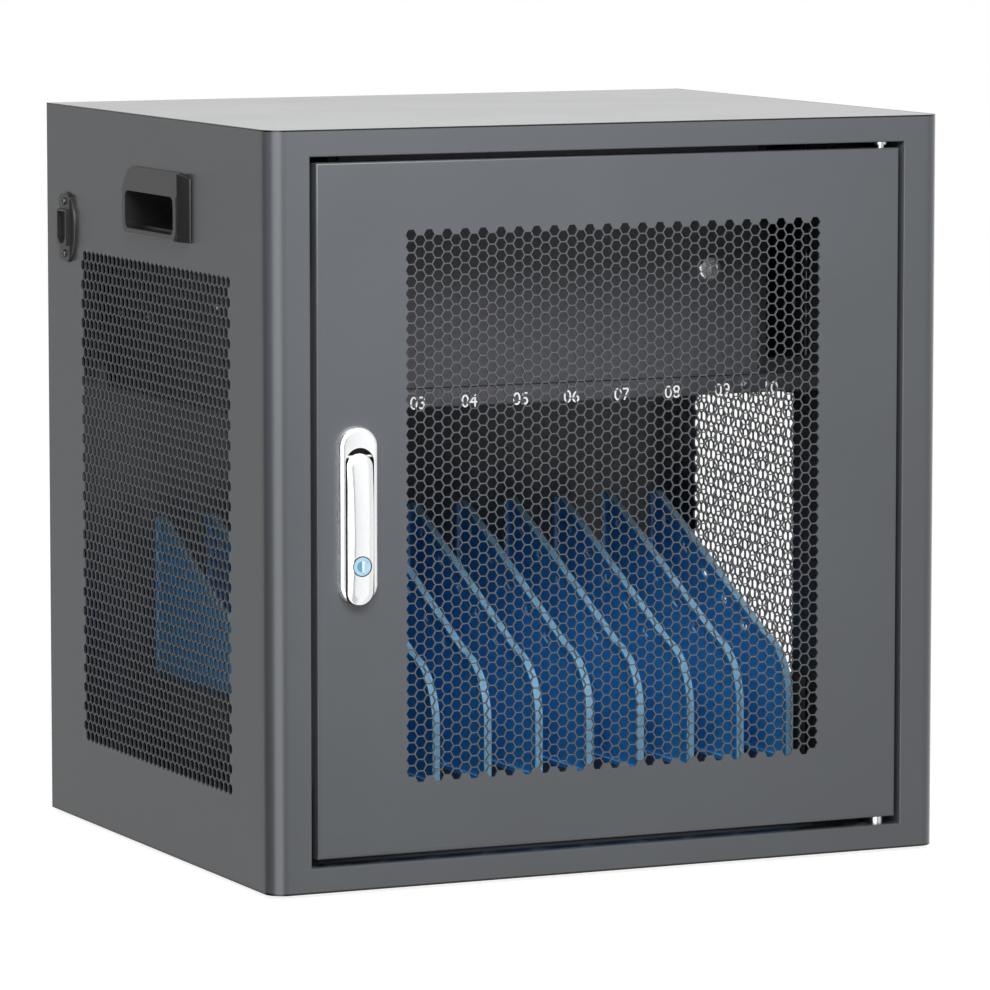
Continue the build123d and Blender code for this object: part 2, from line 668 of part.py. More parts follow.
with BuildPart() as outlet_faces:
    with BuildSketch(across(STRIP_FACE_Y)):
        with Locations((0, STRIP_Z)):
            with GridLocations(DIVIDER_PITCH, 1, OUTLET_COUNT, 1):
                Rectangle(OUTLET_SIZE, OUTLET_SIZE)
    extrude(amount=OUTLET_T)
    with BuildSketch(across(STRIP_FACE_Y - OUTLET_T)):
        with Locations((0, STRIP_Z)):
            with GridLocations(DIVIDER_PITCH, 1, OUTLET_COUNT, 1):
                with Locations((0, OUTLET_SIZE / 5)):
                    Rectangle(OUTLET_SLIT_W, OUTLET_SLIT_L)
                with Locations((-OUTLET_SIZE / 4, -OUTLET_SIZE / 6), (OUTLET_SIZE / 4, -OUTLET_SIZE / 6)):
                    Rectangle(OUTLET_SLIT_L, OUTLET_SLIT_W)
    extrude(amount=-OUTLET_T / 2, mode=Mode.SUBTRACT)
outlet_faces.part.label = "outlet_faces"
export_step(outlet_faces.part, "parts/outlet_faces.step")

# Laptop rack: a raised floor folded down at both ends, and low side walls
RACK_FLOOR_LOW = BASE + SHEET
RACK_Y = FRONT + middle(RACK_FRONT, RACK_REAR)

with BuildPart() as rack_floor:
    with BuildSketch(Plane.XY.offset(RACK_FLOOR_LOW)):
        with Locations((0, RACK_Y)):
            Rectangle(RACK_WIDTH, RACK_REAR - RACK_FRONT)
    extrude(amount=RACK_FLOOR_Z - RACK_FLOOR_LOW)
    fillet(rack_floor.faces().sort_by(Axis.Z)[-1].edges().filter_by(Axis.X), EDGE_R)
    with BuildSketch(Plane.XY.offset(RACK_FLOOR_LOW)):
        with Locations((0, RACK_Y)):
            Rectangle(RACK_WIDTH, RACK_REAR - RACK_FRONT - 2 * SHEET)
    extrude(amount=RACK_FLOOR_Z - SHEET - RACK_FLOOR_LOW, mode=Mode.SUBTRACT)
rack_floor.part.label = "rack_floor"
export_step(rack_floor.part, "parts/rack_floor.step")

with BuildPart() as left_rack_side:
    with BuildSketch(beside(-RACK_WIDTH / 2)) as rack_wall:
        with Locations((RACK_Y, middle(RACK_FLOOR_LOW, RACK_SIDE_TOP))):
            Rectangle(RACK_REAR - RACK_FRONT, RACK_SIDE_TOP - RACK_FLOOR_LOW)
        fillet(rack_wall.vertices().group_by(Axis.Y)[-1], DIVIDER_CORNER_R)
    extrude(amount=-SHEET)
left_rack_side.part.label = "left_rack_side"
export_step(left_rack_side.part, "parts/left_rack_side.step")

with BuildPart() as right_rack_side:
    add(left_rack_side.part)
    mirror(about=Plane.YZ, mode=Mode.REPLACE)
right_rack_side.part.label = "right_rack_side"
export_step(right_rack_side.part, "parts/right_rack_side.step")

# Dividers: a thin web with a wider bead all round and cable slots that
# follow the sloping edge
KNEE_Y = FRONT + DIVIDER_KNEE_Y
TOP_RUN = math.hypot(DIVIDER_REAR - DIVIDER_KNEE_Y, DIVIDER_TOP_Z - DIVIDER_KNEE_Z)
TOP_TILT = math.degrees(math.atan2(DIVIDER_TOP_Z - DIVIDER_KNEE_Z, DIVIDER_REAR - DIVIDER_KNEE_Y))

for number in range(1, DIVIDER_COUNT + 1):
    divider_x = (number - (DIVIDER_COUNT + 1) / 2) * DIVIDER_PITCH
    with BuildPart() as divider:
        with BuildSketch(beside(divider_x)) as profile:
            with BuildLine() as outline:
                front_edge = Line(
                    (FRONT + DIVIDER_FRONT, RACK_FLOOR_Z),
                    (FRONT + DIVIDER_FRONT, DIVIDER_STRAIGHT),
                )
                knee = TangentArc(
                    front_edge @ 1,
                    (KNEE_Y, DIVIDER_KNEE_Z),
                    tangent=(0, 1),
                )
                top_edge = Line(knee @ 1, (FRONT + DIVIDER_REAR, DIVIDER_TOP_Z))
                rear_edge = Line(top_edge @ 1, (FRONT + DIVIDER_REAR, RACK_FLOOR_Z))
                Line(rear_edge @ 1, front_edge @ 0)
            make_face()
        extrude(amount=RIM_W / 2, both=True)
        fillet(divider.edges().filter_by(Axis.X).group_by(Axis.Z)[-1], DIVIDER_CORNER_R)
        for side in (-1, 1):
            with BuildSketch(beside(divider_x + side * RIM_W / 2)):
                add(profile.sketch_local)
                offset(amount=-RIM_T, mode=Mode.REPLACE)
            extrude(amount=-side * (RIM_W - DIVIDER_T) / 2, mode=Mode.SUBTRACT)
        with BuildSketch(beside(divider_x)):
            with Locations(Location((KNEE_Y, DIVIDER_KNEE_Z, 0), (0, 0, TOP_TILT))):
                with Locations((SLOT_START + (SLOT_COUNT - 1) * SLOT_PITCH / 2, -SLOT_INSET)):
                    with GridLocations(SLOT_PITCH, 1, SLOT_COUNT, 1):
                        Rectangle(SLOT_L, SLOT_W)
        extrude(amount=DIVIDER_T, both=True, mode=Mode.SUBTRACT)
    divider.part.label = f"divider_{number:02d}"
    export_step(divider.part, f"parts/divider_{number:02d}.step")

# Feet, low rubber discs with a recess for the fixing
FOOT_X = HALF_W - FOOT_INSET_X
FOOT_SPOTS = {
    "foot_front_left": (-FOOT_X, FRONT + FOOT_INSET_Y),
    "foot_front_right": (FOOT_X, FRONT + FOOT_INSET_Y),
    "foot_rear_left": (-FOOT_X, BACK - FOOT_INSET_Y),
    "foot_rear_right": (FOOT_X, BACK - FOOT_INSET_Y),
}

for foot_name, foot_spot in FOOT_SPOTS.items():
    with BuildPart() as foot:
        with BuildSketch():
            with Locations(foot_spot):
                Circle(FOOT_D / 2)
        extrude(amount=FOOT_H)
        with BuildSketch():
            with Locations(foot_spot):
                Circle(FOOT_RECESS_D / 2)
        extrude(amount=FOOT_RECESS, mode=Mode.SUBTRACT)
    foot.part.label = foot_name
    export_step(foot.part, f"parts/{foot_name}.step")

# Door: a tray of folded sheet with the honeycomb grille in its face
DOOR_H = DOOR_TOP - DOOR_LOW
DOOR_MID_Z = middle(DOOR_LOW, DOOR_TOP)
PIN_BORE_D = PIN_D + 2 * RUNNING_FIT
BARREL_ROOM_D = LOCK_BARREL_D + BARREL_ROOM

with BuildPart() as door_panel:
    with BuildSketch(across(FRONT)):
        with Locations((0, DOOR_MID_Z)):
            Rectangle(2 * DOOR_HALF, DOOR_H)
    extrude(amount=-DOOR_RETURN)
    fillet(door_panel.faces().sort_by(Axis.Y)[0].edges(), DOOR_EDGE_R)
    with BuildSketch(across(FRONT + SHEET)):
        with Locations((0, DOOR_MID_Z)):
            Rectangle(2 * (DOOR_HALF - SHEET), DOOR_H - 2 * SHEET)
    extrude(amount=-DOOR_RETURN, mode=Mode.SUBTRACT)
    with BuildSketch(across(FRONT)):
        with Locations(Location((0, DOOR_MESH_Z, 0), (0, 0, 180))):
            with HexLocations(MESH_PITCH / 2, DOOR_MESH_COLUMNS, DOOR_MESH_ROWS):
                RegularPolygon(MESH_HOLE_R, 6, major_radius=False)
        with Locations((LOCK_X, LOCK_BARREL_Z)):
            Circle(BARREL_ROOM_D / 2)
    extrude(amount=-SHEET, mode=Mode.SUBTRACT)
    with BuildSketch(Plane.XY.offset(DOOR_LOW)):
        with Locations((PIN_X, PIN_Y)):
            Circle(PIN_BORE_D / 2)
    extrude(amount=DOOR_H, mode=Mode.SUBTRACT)
door_panel.part.label = "door_panel"
export_step(door_panel.part, "parts/door_panel.step")

# Door stiffeners, folded channels behind the face beside the grille
with BuildPart() as left_stiffener:
    with BuildSketch(Plane.XY.offset(DOOR_MID_Z)) as channel:
        with Locations((-STIFFENER_OFFSET, FRONT + SHEET)):
            Rectangle(STIFFENER_W, STIFFENER_D, align=(Align.CENTER, Align.MIN))
        with Locations((-STIFFENER_OFFSET, FRONT + SHEET)):
            Rectangle(
                STIFFENER_W - 2 * SHEET,
                STIFFENER_D - SHEET,
                align=(Align.CENTER, Align.MIN),
                mode=Mode.SUBTRACT,
            )
    extrude(amount=STIFFENER_H / 2, both=True)
left_stiffener.part.label = "left_stiffener"
export_step(left_stiffener.part, "parts/left_stiffener.step")

with BuildPart() as right_stiffener:
    add(left_stiffener.part)
    mirror(about=Plane.YZ, mode=Mode.REPLACE)
right_stiffener.part.label = "right_stiffener"
export_step(right_stiffener.part, "parts/right_stiffener.step")

# Hinge bushes under the door folds
with BuildPart() as door_bush_top:
    with Locations((PIN_X, PIN_Y, DOOR_TOP - SHEET)):
        Cylinder(BUSH_D / 2, BUSH_L, align=(Align.CENTER, Align.CENTER, Align.MAX))
        Cylinder(PIN_BORE_D / 2, BUSH_L, align=(Align.CENTER, Align.CENTER, Align.MAX), mode=Mode.SUBTRACT)
door_bush_top.part.label = "door_bush_top"
export_step(door_bush_top.part, "parts/door_bush_top.step")

with BuildPart() as door_bush_bottom:
    with Locations((PIN_X, PIN_Y, DOOR_LOW + SHEET)):
        Cylinder(BUSH_D / 2, BUSH_L, align=(Align.CENTER, Align.CENTER, Align.MIN))
        Cylinder(PIN_BORE_D / 2, BUSH_L, align=(Align.CENTER, Align.CENTER, Align.MIN), mode=Mode.SUBTRACT)
door_bush_bottom.part.label = "door_bush_bottom"
export_step(door_bush_bottom.part, "parts/door_bush_bottom.step")

# Lock escutcheon with the long recess that the lever lies in
LEVER_FOOT_Z = LOCK_Z - ESCUTCHEON_H / 2
LEVER_TOP_Z = LEVER_FOOT_Z + LEVER_L
LEVER_Z = middle(LEVER_FOOT_Z, LEVER_TOP_Z)
RECESS_LOW = LEVER_FOOT_Z - LEVER_SIDE_GAP
RECESS_TOP = LEVER_TOP_Z + LEVER_TOP_GAP
LEVER_PIVOT_Z = LEVER_TOP_Z - LEVER_KNUCKLE_R
LEVER_PIVOT_Y = FRONT - LEVER_BACK - LEVER_KNUCKLE_R
ESCUTCHEON_Y = FRONT - ESCUTCHEON_T

with BuildPart() as lock_escutcheon:
    with BuildSketch(across(FRONT)):
        with Locations((LOCK_X, LOCK_Z)):
            SlotOverall(ESCUTCHEON_H, ESCUTCHEON_W, rotation=90)
    extrude(amount=ESCUTCHEON_T)
    fillet(lock_escutcheon.faces().sort_by(Axis.Y)[0].edges(), ESCUTCHEON_EDGE)
    with BuildSketch(across(ESCUTCHEON_Y)):
        with Locations((LOCK_X, middle(RECESS_LOW, RECESS_TOP))):
            SlotOverall(RECESS_TOP - RECESS_LOW, LEVER_W + 2 * LEVER_SIDE_GAP, rotation=90)
    extrude(amount=-RECESS_DEPTH, mode=Mode.SUBTRACT)
    with BuildSketch(across(FRONT)):
        with Locations((LOCK_X, LOCK_BARREL_Z)):
            Circle(BARREL_ROOM_D / 2)
    extrude(amount=ESCUTCHEON_T, mode=Mode.SUBTRACT)
    with Locations(Location((LOCK_X, LEVER_PIVOT_Y, LEVER_PIVOT_Z), (0, 90, 0))):
        Cylinder(LEVER_PIN_D / 2, LEVER_PIN_L, mode=Mode.SUBTRACT)
lock_escutcheon.part.label = "lock_escutcheon"
export_step(lock_escutcheon.part, "parts/lock_escutcheon.step")

# Pin that the lever turns on, held in both walls of the escutcheon
with BuildPart() as lever_pin:
    with Locations(Location((LOCK_X, LEVER_PIVOT_Y, LEVER_PIVOT_Z), (0, 90, 0))):
        Cylinder(LEVER_PIN_D / 2, LEVER_PIN_L)
lever_pin.part.label = "lever_pin"
export_step(lever_pin.part, "parts/lever_pin.step")

# Lock housing behind the door face, with room for the barrel to swing out
with BuildPart() as lock_housing:
    with BuildSketch(across(FRONT + SHEET)):
        with Locations((LOCK_X, LOCK_Z)):
            RectangleRounded(HOUSING_W, HOUSING_H, HOUSING_R)
    extrude(amount=-HOUSING_D)
    with BuildSketch(across(FRONT + SHEET)):
        with Locations((LOCK_X, LOCK_BARREL_Z)):
            Circle(BARREL_ROOM_D / 2)
    extrude(amount=-HOUSING_POCKET, mode=Mode.SUBTRACT)
    with BuildSketch(across(FRONT + SHEET)):
        with Locations((LOCK_X, SPINDLE_Z)):
            Circle(SPINDLE_D / 2 + RUNNING_FIT)
    extrude(amount=-HOUSING_D, mode=Mode.SUBTRACT)
lock_housing.part.label = "lock_housing"
export_step(lock_housing.part, "parts/lock_housing.step")

# Lever, bowed along its length, with its knuckle at the top
BARREL_FACE_Y = FRONT - LEVER_PROUD + BARREL_SINK
LEVER_BACK_Y = FRONT - LEVER_BACK

with BuildPart() as lock_lever:
    with BuildSketch(beside(LOCK_X)):
        with BuildLine():
            back_line = Line((LEVER_BACK_Y, LEVER_FOOT_Z - LEVER_TRIM), (LEVER_BACK_Y, LEVER_PIVOT_Z))
            knuckle = ThreePointArc(
                back_line @ 1,
                (LEVER_PIVOT_Y, LEVER_TOP_Z),
                (LEVER_PIVOT_Y - LEVER_KNUCKLE_R, LEVER_PIVOT_Z),
            )
            bow = ThreePointArc(
                knuckle @ 1,
                (FRONT - LEVER_PROUD, LEVER_Z),
                (FRONT - LEVER_TIP_PROUD, LEVER_FOOT_Z - LEVER_TRIM),
            )
            Line(bow @ 1, back_line @ 0)
        make_face()
    extrude(amount=LEVER_W / 2, both=True)
    with BuildSketch(across(FRONT)):
        with Locations((LOCK_X, LEVER_Z - LEVER_TRIM / 2)):
            SlotOverall(LEVER_L - LEVER_TRIM, LEVER_W, rotation=90)
    extrude(amount=LEVER_PROUD + LEVER_TIP_PROUD, mode=Mode.INTERSECT)
    with BuildSketch(across(FRONT)):
        with Locations((LOCK_X, LOCK_BARREL_Z)):
            Circle(LOCK_BARREL_D / 2)
    extrude(amount=LEVER_PROUD + LEVER_TIP_PROUD, mode=Mode.SUBTRACT)
    with Locations(Location((LOCK_X, LEVER_PIVOT_Y, LEVER_PIVOT_Z), (0, 90, 0))):
        Cylinder(LEVER_PIN_D / 2 + RUNNING_FIT, LEVER_W, mode=Mode.SUBTRACT)
lock_lever.part.label = "lock_lever"
export_step(lock_lever.part, "parts/lock_lever.step")

# Lock barrel, fixed in the lever, with a blind bore for the plug
with BuildPart() as lock_barrel:
    with BuildSketch(across(BARREL_FACE_Y)):
        with Locations((LOCK_X, LOCK_BARREL_Z)):
            Circle(LOCK_BARREL_D / 2)
    extrude(amount=-LOCK_BARREL_L)
    with BuildSketch(across(BARREL_FACE_Y)):
        with Locations((LOCK_X, LOCK_BARREL_Z)):
            Circle(LOCK_PLUG_D / 2 + RUNNING_FIT)
    extrude(amount=-LOCK_PLUG_BEHIND - LOCK_PLUG_L - SEAT_GAP, mode=Mode.SUBTRACT)
lock_barrel.part.label = "lock_barrel"
export_step(lock_barrel.part, "parts/lock_barrel.step")

with BuildPart() as lock_plug:
    with BuildSketch(across(BARREL_FACE_Y + LOCK_PLUG_BEHIND)):
        with Locations((LOCK_X, LOCK_BARREL_Z)):
            Circle(LOCK_PLUG_D / 2)
    extrude(amount=-LOCK_PLUG_L)
    with BuildSketch(across(BARREL_FACE_Y)):
        with Locations((LOCK_X, LOCK_BARREL_Z)):
            Rectangle(KEYWAY_W, KEYWAY_L)
    extrude(amount=-KEYWAY_DEPTH, mode=Mode.SUBTRACT)
lock_plug.part.label = "lock_plug"
export_step(lock_plug.part, "parts/lock_plug.step")

# Spindle in the housing, with the latch cam held between collar and nut
CAM_Y = FRONT + DOOR_RETURN + CAM_CLEAR
HOUSING_BACK_Y = FRONT + SHEET + HOUSING_D

with BuildPart() as lock_spindle:
    with BuildSketch(across(FRONT + SHEET + SEAT_GAP)):
        with Locations((LOCK_X, SPINDLE_Z)):
            Circle(SPINDLE_D / 2)
    extrude(amount=FRONT + SHEET + SEAT_GAP - CAM_Y - CAM_T - SPINDLE_NUT_T)
    with BuildSketch(across(HOUSING_BACK_Y + SEAT_GAP)):
        with Locations((LOCK_X, SPINDLE_Z)):
            Circle(SPINDLE_NUT_D / 2)
    extrude(amount=HOUSING_BACK_Y + SEAT_GAP - CAM_Y)
    with BuildSketch(across(CAM_Y + CAM_T)):
        with Locations((LOCK_X, SPINDLE_Z)):
            RegularPolygon(SPINDLE_NUT_D / 2, 6)
    extrude(amount=-SPINDLE_NUT_T)
lock_spindle.part.label = "lock_spindle"
export_step(lock_spindle.part, "parts/lock_spindle.step")

with BuildPart() as lock_cam:
    with BuildSketch(across(CAM_Y)):
        with Locations((LOCK_X, SPINDLE_Z - (CAM_L - CAM_W) / 2)):
            SlotOverall(CAM_L, CAM_W, rotation=90)
        with Locations((LOCK_X, SPINDLE_Z)):
            Circle(SPINDLE_D / 2, mode=Mode.SUBTRACT)
    extrude(amount=-CAM_T)
lock_cam.part.label = "lock_cam"
export_step(lock_cam.part, "parts/lock_cam.step")
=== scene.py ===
"""Visual model of a laptop charging cabinet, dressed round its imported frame.

Metres, +X to the cabinet's right, +Y to the back, +Z up. Places come from
the frame's own boxes and from a few real sizes of the object.
"""

from __future__ import annotations

import json
import logging
import math
from collections.abc import Callable, Iterable, Sequence
from dataclasses import dataclass
from enum import Enum

import bmesh
import bpy
from mathutils import Matrix, Vector

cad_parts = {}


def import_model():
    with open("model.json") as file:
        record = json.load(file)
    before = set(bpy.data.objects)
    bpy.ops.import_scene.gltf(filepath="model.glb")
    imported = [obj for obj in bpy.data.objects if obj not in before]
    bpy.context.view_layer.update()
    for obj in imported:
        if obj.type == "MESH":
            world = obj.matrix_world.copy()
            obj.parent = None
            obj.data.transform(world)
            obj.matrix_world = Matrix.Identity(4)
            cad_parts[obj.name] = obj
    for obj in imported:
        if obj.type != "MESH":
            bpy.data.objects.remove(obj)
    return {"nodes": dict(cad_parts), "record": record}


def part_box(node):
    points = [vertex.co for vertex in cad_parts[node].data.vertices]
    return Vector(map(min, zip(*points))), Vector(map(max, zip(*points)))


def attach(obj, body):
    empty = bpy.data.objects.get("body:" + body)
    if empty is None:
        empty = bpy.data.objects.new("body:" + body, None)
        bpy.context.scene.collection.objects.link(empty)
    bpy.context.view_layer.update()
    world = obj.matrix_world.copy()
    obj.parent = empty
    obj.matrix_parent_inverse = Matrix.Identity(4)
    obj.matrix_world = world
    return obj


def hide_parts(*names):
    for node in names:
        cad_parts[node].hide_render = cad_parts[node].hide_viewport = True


LOG = logging.getLogger("cabinet")
MM = 0.001
PHOTO_PIXELS = 990
SHEET = 1.5 * MM
# Places nearer to each other than a hair count as one.
HAIR = 0.01 * MM
WELD = 0.002 * MM
# A face whose normal has less than this share of an axis doesn't look that way.
STEEP = 0.7
# One whose normal has more than this share of it looks straight that way.
STRAIGHT = 0.9
WHITE = (1.0, 1.0, 1.0, 1.0)
Point = tuple[float, float]
Span = tuple[Point, Point]
Triple = tuple[float, float, float]


class Side(Enum):
    """The two flanks of the cabinet."""

    LEFT = -1
    RIGHT = 1


class View(Enum):
    """How a flat sheet drawn in its own x and y stands in the cabinet."""

    FRONT = "front"
    LEFT = "left"
    RIGHT = "right"
    TOP = "top"
    BACK = "back"


class Part(Enum):
    """What a mesh is made of."""

    FACE = "faces"
    EDGE = "edges"
    VERT = "corners"


def stand(view: View, offset: float) -> Matrix:
    """Gives the matrix that stands a flat drawing up in the cabinet.

    Args:
        view: The side that the drawing's face looks out of.
        offset: Where that face lies along the side's own axis.

    Returns:
        A turn and a move, with the drawing's z as the outward normal.
    """
    axes = {
        View.FRONT: ((1, 0, 0), (0, 0, 1), (0, -1, 0)),
        View.BACK: ((-1, 0, 0), (0, 0, 1), (0, 1, 0)),
        View.LEFT: ((0, 0, 1), (0, 1, 0), (-1, 0, 0)),
        View.RIGHT: ((0, 0, -1), (0, 1, 0), (1, 0, 0)),
        View.TOP: ((1, 0, 0), (0, 1, 0), (0, 0, 1)),
    }[view]
    turn = Matrix([list(row) for row in zip(*axes)]).to_4x4()
    normal = Vector(axes[2])
    along = Vector([abs(part) for part in normal])
    return Matrix.Translation(along * offset) @ turn


def middle_of(node: str) -> Vector:
    """Gives the middle of a frame node's box."""
    low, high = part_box(node)
    return (low + high) / 2


def clear_bench() -> None:
    """Leaves edit mode and deselects everything, ready for the next piece."""
    if bpy.context.mode != "OBJECT":
        bpy.ops.object.mode_set(mode="OBJECT")
    bpy.ops.object.select_all(action="DESELECT")


class Workpiece:
    """A mesh on the bench: shaped in edit mode, then finished and placed."""

    def __init__(self, name: str) -> None:
        """Takes over the object that an operator has just added.

        Args:
            name: The piece's name.
        """
        self.obj = bpy.context.object
        self.obj.name = name
        self.obj.data.name = name
        bpy.ops.object.mode_set(mode="EDIT")

    @classmethod
    def rectangle(cls, name: str, span: Span) -> "Workpiece":
        """Starts a piece from a flat rectangle.

        Args:
            name: The piece's name.
            span: Two opposite corners.

        Returns:
            The piece, in edit mode.
        """
        (x0, y0), (x1, y1) = span
        clear_bench()
        bpy.ops.mesh.primitive_plane_add(size=1.0)
        bpy.context.object.scale = (x1 - x0, y1 - y0, 1.0)
        bpy.context.object.location = ((x0 + x1) / 2, (y0 + y1) / 2, 0.0)
        bpy.ops.object.transform_apply()
        return cls(name)

    @classmethod
    def disc(cls, name: str, radius: float, sides: int, turn: float = 0.0) -> "Workpiece":
        """Starts a piece from a flat disc about the origin.

        Args:
            name: The piece's name.
            radius: The distance to its corners.
            sides: How many corners it has.
            turn: Its turn in radians.

        Returns:
            The piece, in edit mode.
        """
        clear_bench()
        bpy.ops.mesh.primitive_circle_add(
            vertices=sides, radius=radius, fill_type="NGON", rotation=(0.0, 0.0, turn)
        )
        bpy.ops.object.transform_apply()
        return cls(name)

    @classmethod
    def block(cls, name: str, low: Vector, high: Vector) -> "Workpiece":
        """Starts a piece from a box.

        Args:
            name: The piece's name.
            low: Its lowest corner.
            high: Its highest corner.

        Returns:
            The piece, in edit mode.
        """
        clear_bench()
        bpy.ops.mesh.primitive_cube_add(size=1.0)
        bpy.context.object.scale = high - low
        bpy.context.object.location = (low + high) / 2
        bpy.ops.object.transform_apply()
        return cls(name)

    def pick(self, part: Part, test: Callable[..., bool]) -> None:
        """Selects the faces, edges or corners that pass a test, and nothing else.

        Args:
            part: What is selected.
            test: Tells of one of them whether it is.
        """
        bpy.ops.mesh.select_mode(type=part.name)
        bpy.ops.mesh.select_all(action="DESELECT")
        mesh = bmesh.from_edit_mesh(self.obj.data)
        items = {Part.FACE: mesh.faces, Part.EDGE: mesh.edges, Part.VERT: mesh.verts}[part]
        for item in items:
            if test(item):
                item.select_set(True)
        bmesh.update_edit_mesh(self.obj.data)

    def pick_edges(self, test: Callable[[Vector], bool]) -> None:
        """Selects the edges whose two ends pass a test of their place."""
        self.pick(Part.EDGE, lambda edge: all(test(vert.co) for vert in edge.verts))

    def pick_verts(self, test: Callable[[Vector], bool]) -> None:
        """Selects the corners that pass a test of their place."""
        self.pick(Part.VERT, lambda vert: test(vert.co))

    def move(self, by: Sequence[float]) -> None:
        """Moves what is selected."""
        bpy.ops.transform.translate(value=tuple(by))

    def extrude(self, by: Sequence[float]) -> None:
        """Extrudes what is selected along a move."""
        bpy.ops.mesh.extrude_region_move(TRANSFORM_OT_translate={"value": tuple(by)})

    def cut(self, place: Sequence[float], normal: Sequence[float]) -> None:
        """Cuts the whole mesh along a plane and keeps both parts."""
        bpy.ops.mesh.select_all(action="SELECT")
        bpy.ops.mesh.bisect(plane_co=tuple(place), plane_no=tuple(normal))

    def bevel(self, width: float, segments: int) -> None:
        """Rounds the selected edges."""
        bpy.ops.mesh.bevel(offset=width, segments=segments, affect="EDGES", clamp_overlap=True)

    def solid(self, height: float, start: Sequence[float] = (0.0, 0.0, 0.0)) -> None:
        """Makes a solid of the whole flat drawing.

        Args:
            height: How far up it is extruded.
            start: How far the drawing is moved first.
        """
        bpy.ops.mesh.select_all(action="SELECT")
        self.move(start)
        self.extrude((0.0, 0.0, height))

    def pad(self, height: float, rounding: float, segments: int) -> None:
        """Makes a solid of the flat drawing and rounds its upper edges.

        Args:
            height: How tall it is.
            rounding: How wide the rounding is.
            segments: How many facets the rounding has.
        """
        self.solid(height)
        self.pick_edges(lambda place: place.z > height / 2)
        self.bevel(rounding, segments)
        self.outward()

    def outward(self) -> None:
        """Merges doubles and turns all faces of a closed shape outwards."""
        bpy.ops.mesh.select_all(action="SELECT")
        bpy.ops.mesh.remove_doubles(threshold=WELD)
        bpy.ops.mesh.normals_make_consistent(inside=False)

    def face_up(self) -> None:
        """Turns all faces of an open sheet one way, with the flat part up."""
        bpy.ops.mesh.select_all(action="SELECT")
        bpy.ops.mesh.normals_make_consistent(inside=False)
        mesh = bmesh.from_edit_mesh(self.obj.data)
        if sum(face.normal.z * face.calc_area() for face in mesh.faces) < 0:
            bpy.ops.mesh.flip_normals()

    def modify(self, kind: str, **values: object) -> None:
        """Adds a modifier to the piece and applies it.

        Args:
            kind: The modifier's type.
            **values: The modifier's properties.
        """
        self.leave()
        bpy.ops.object.modifier_add(type=kind)
        modifier = self.obj.modifiers[-1]
        for key, value in values.items():
            setattr(modifier, key, value)
        bpy.ops.object.modifier_apply(modifier=modifier.name)

    def thicken(self, thickness: float) -> None:
        """Gives an open sheet its thickness behind its face."""
        self.modify("SOLIDIFY", thickness=thickness, offset=-1.0, use_even_offset=True)

    def carve(self, cutter: "Workpiece") -> None:
        """Cuts another closed piece out of this one and removes it."""
        self.modify("BOOLEAN", operation="DIFFERENCE", object=cutter.obj)
        bpy.data.objects.remove(cutter.obj)

    def drill(self, centre: Point, radius: float, start: float, height: float) -> None:
        """Bores a round hole.

        Args:
            centre: The hole's middle.
            radius: The hole's radius.
            start: The height at which it starts.
            height: How far up it goes.
        """
        bit = Workpiece.disc("drill", radius, 40)
        bit.solid(height, (*centre, start))
        bit.outward()
        self.carve(bit)

    def leave(self) -> None:
        """Leaves edit mode with only this piece selected."""
        clear_bench()
        self.obj.select_set(True)
        bpy.context.view_layer.objects.active = self.obj

    def place(self, matrix: Matrix) -> None:
        """Moves the finished mesh to its place and puts its origin back."""
        self.leave()
        self.obj.matrix_world = matrix
        bpy.ops.object.transform_apply()

    def finish(self, material: bpy.types.Material, angle: float = 30.0) -> bpy.types.Object:
        """Shades the piece, gives it its finish and hands it over.

        Args:
            material: The finish.
            angle: The angle in degrees above which an edge stays sharp.

        Returns:
            The finished object.
        """
        self.leave()
        bpy.ops.object.shade_smooth_by_angle(angle=math.radians(angle))
        self.obj.data.materials.clear()
        self.obj.data.materials.append(material)
        return self.obj


def copy_of(piece: bpy.types.Object, name: str, matrix: Matrix) -> bpy.types.Object:
    """Copies a piece with a mesh of its own, placed by a matrix.

    Args:
        piece: The piece to copy.
        name: The copy's name.
        matrix: The move and turn of the copy.

    Returns:
        The new object, with its origin at the scene's origin.
    """
    mesh = piece.data.copy()
    mesh.transform(matrix)
    mesh.name = name
    twin = bpy.data.objects.new(name, mesh)
    bpy.context.scene.collection.objects.link(twin)
    return twin


def ride(piece: bpy.types.Object, body: str, slot: str, *stands_for: str) -> None:
    """Puts a piece on its body and hides the frame's nodes that it stands for.

    Args:
        piece: The piece.
        body: The body that carries it.
        slot: The material slot of the record; not used.
        *stands_for: The frame's nodes that it takes the place of.
    """
    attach(piece, body)
    if stands_for:
        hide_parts(*stands_for)
    LOG.info("%s rides on %s", piece.name, body)


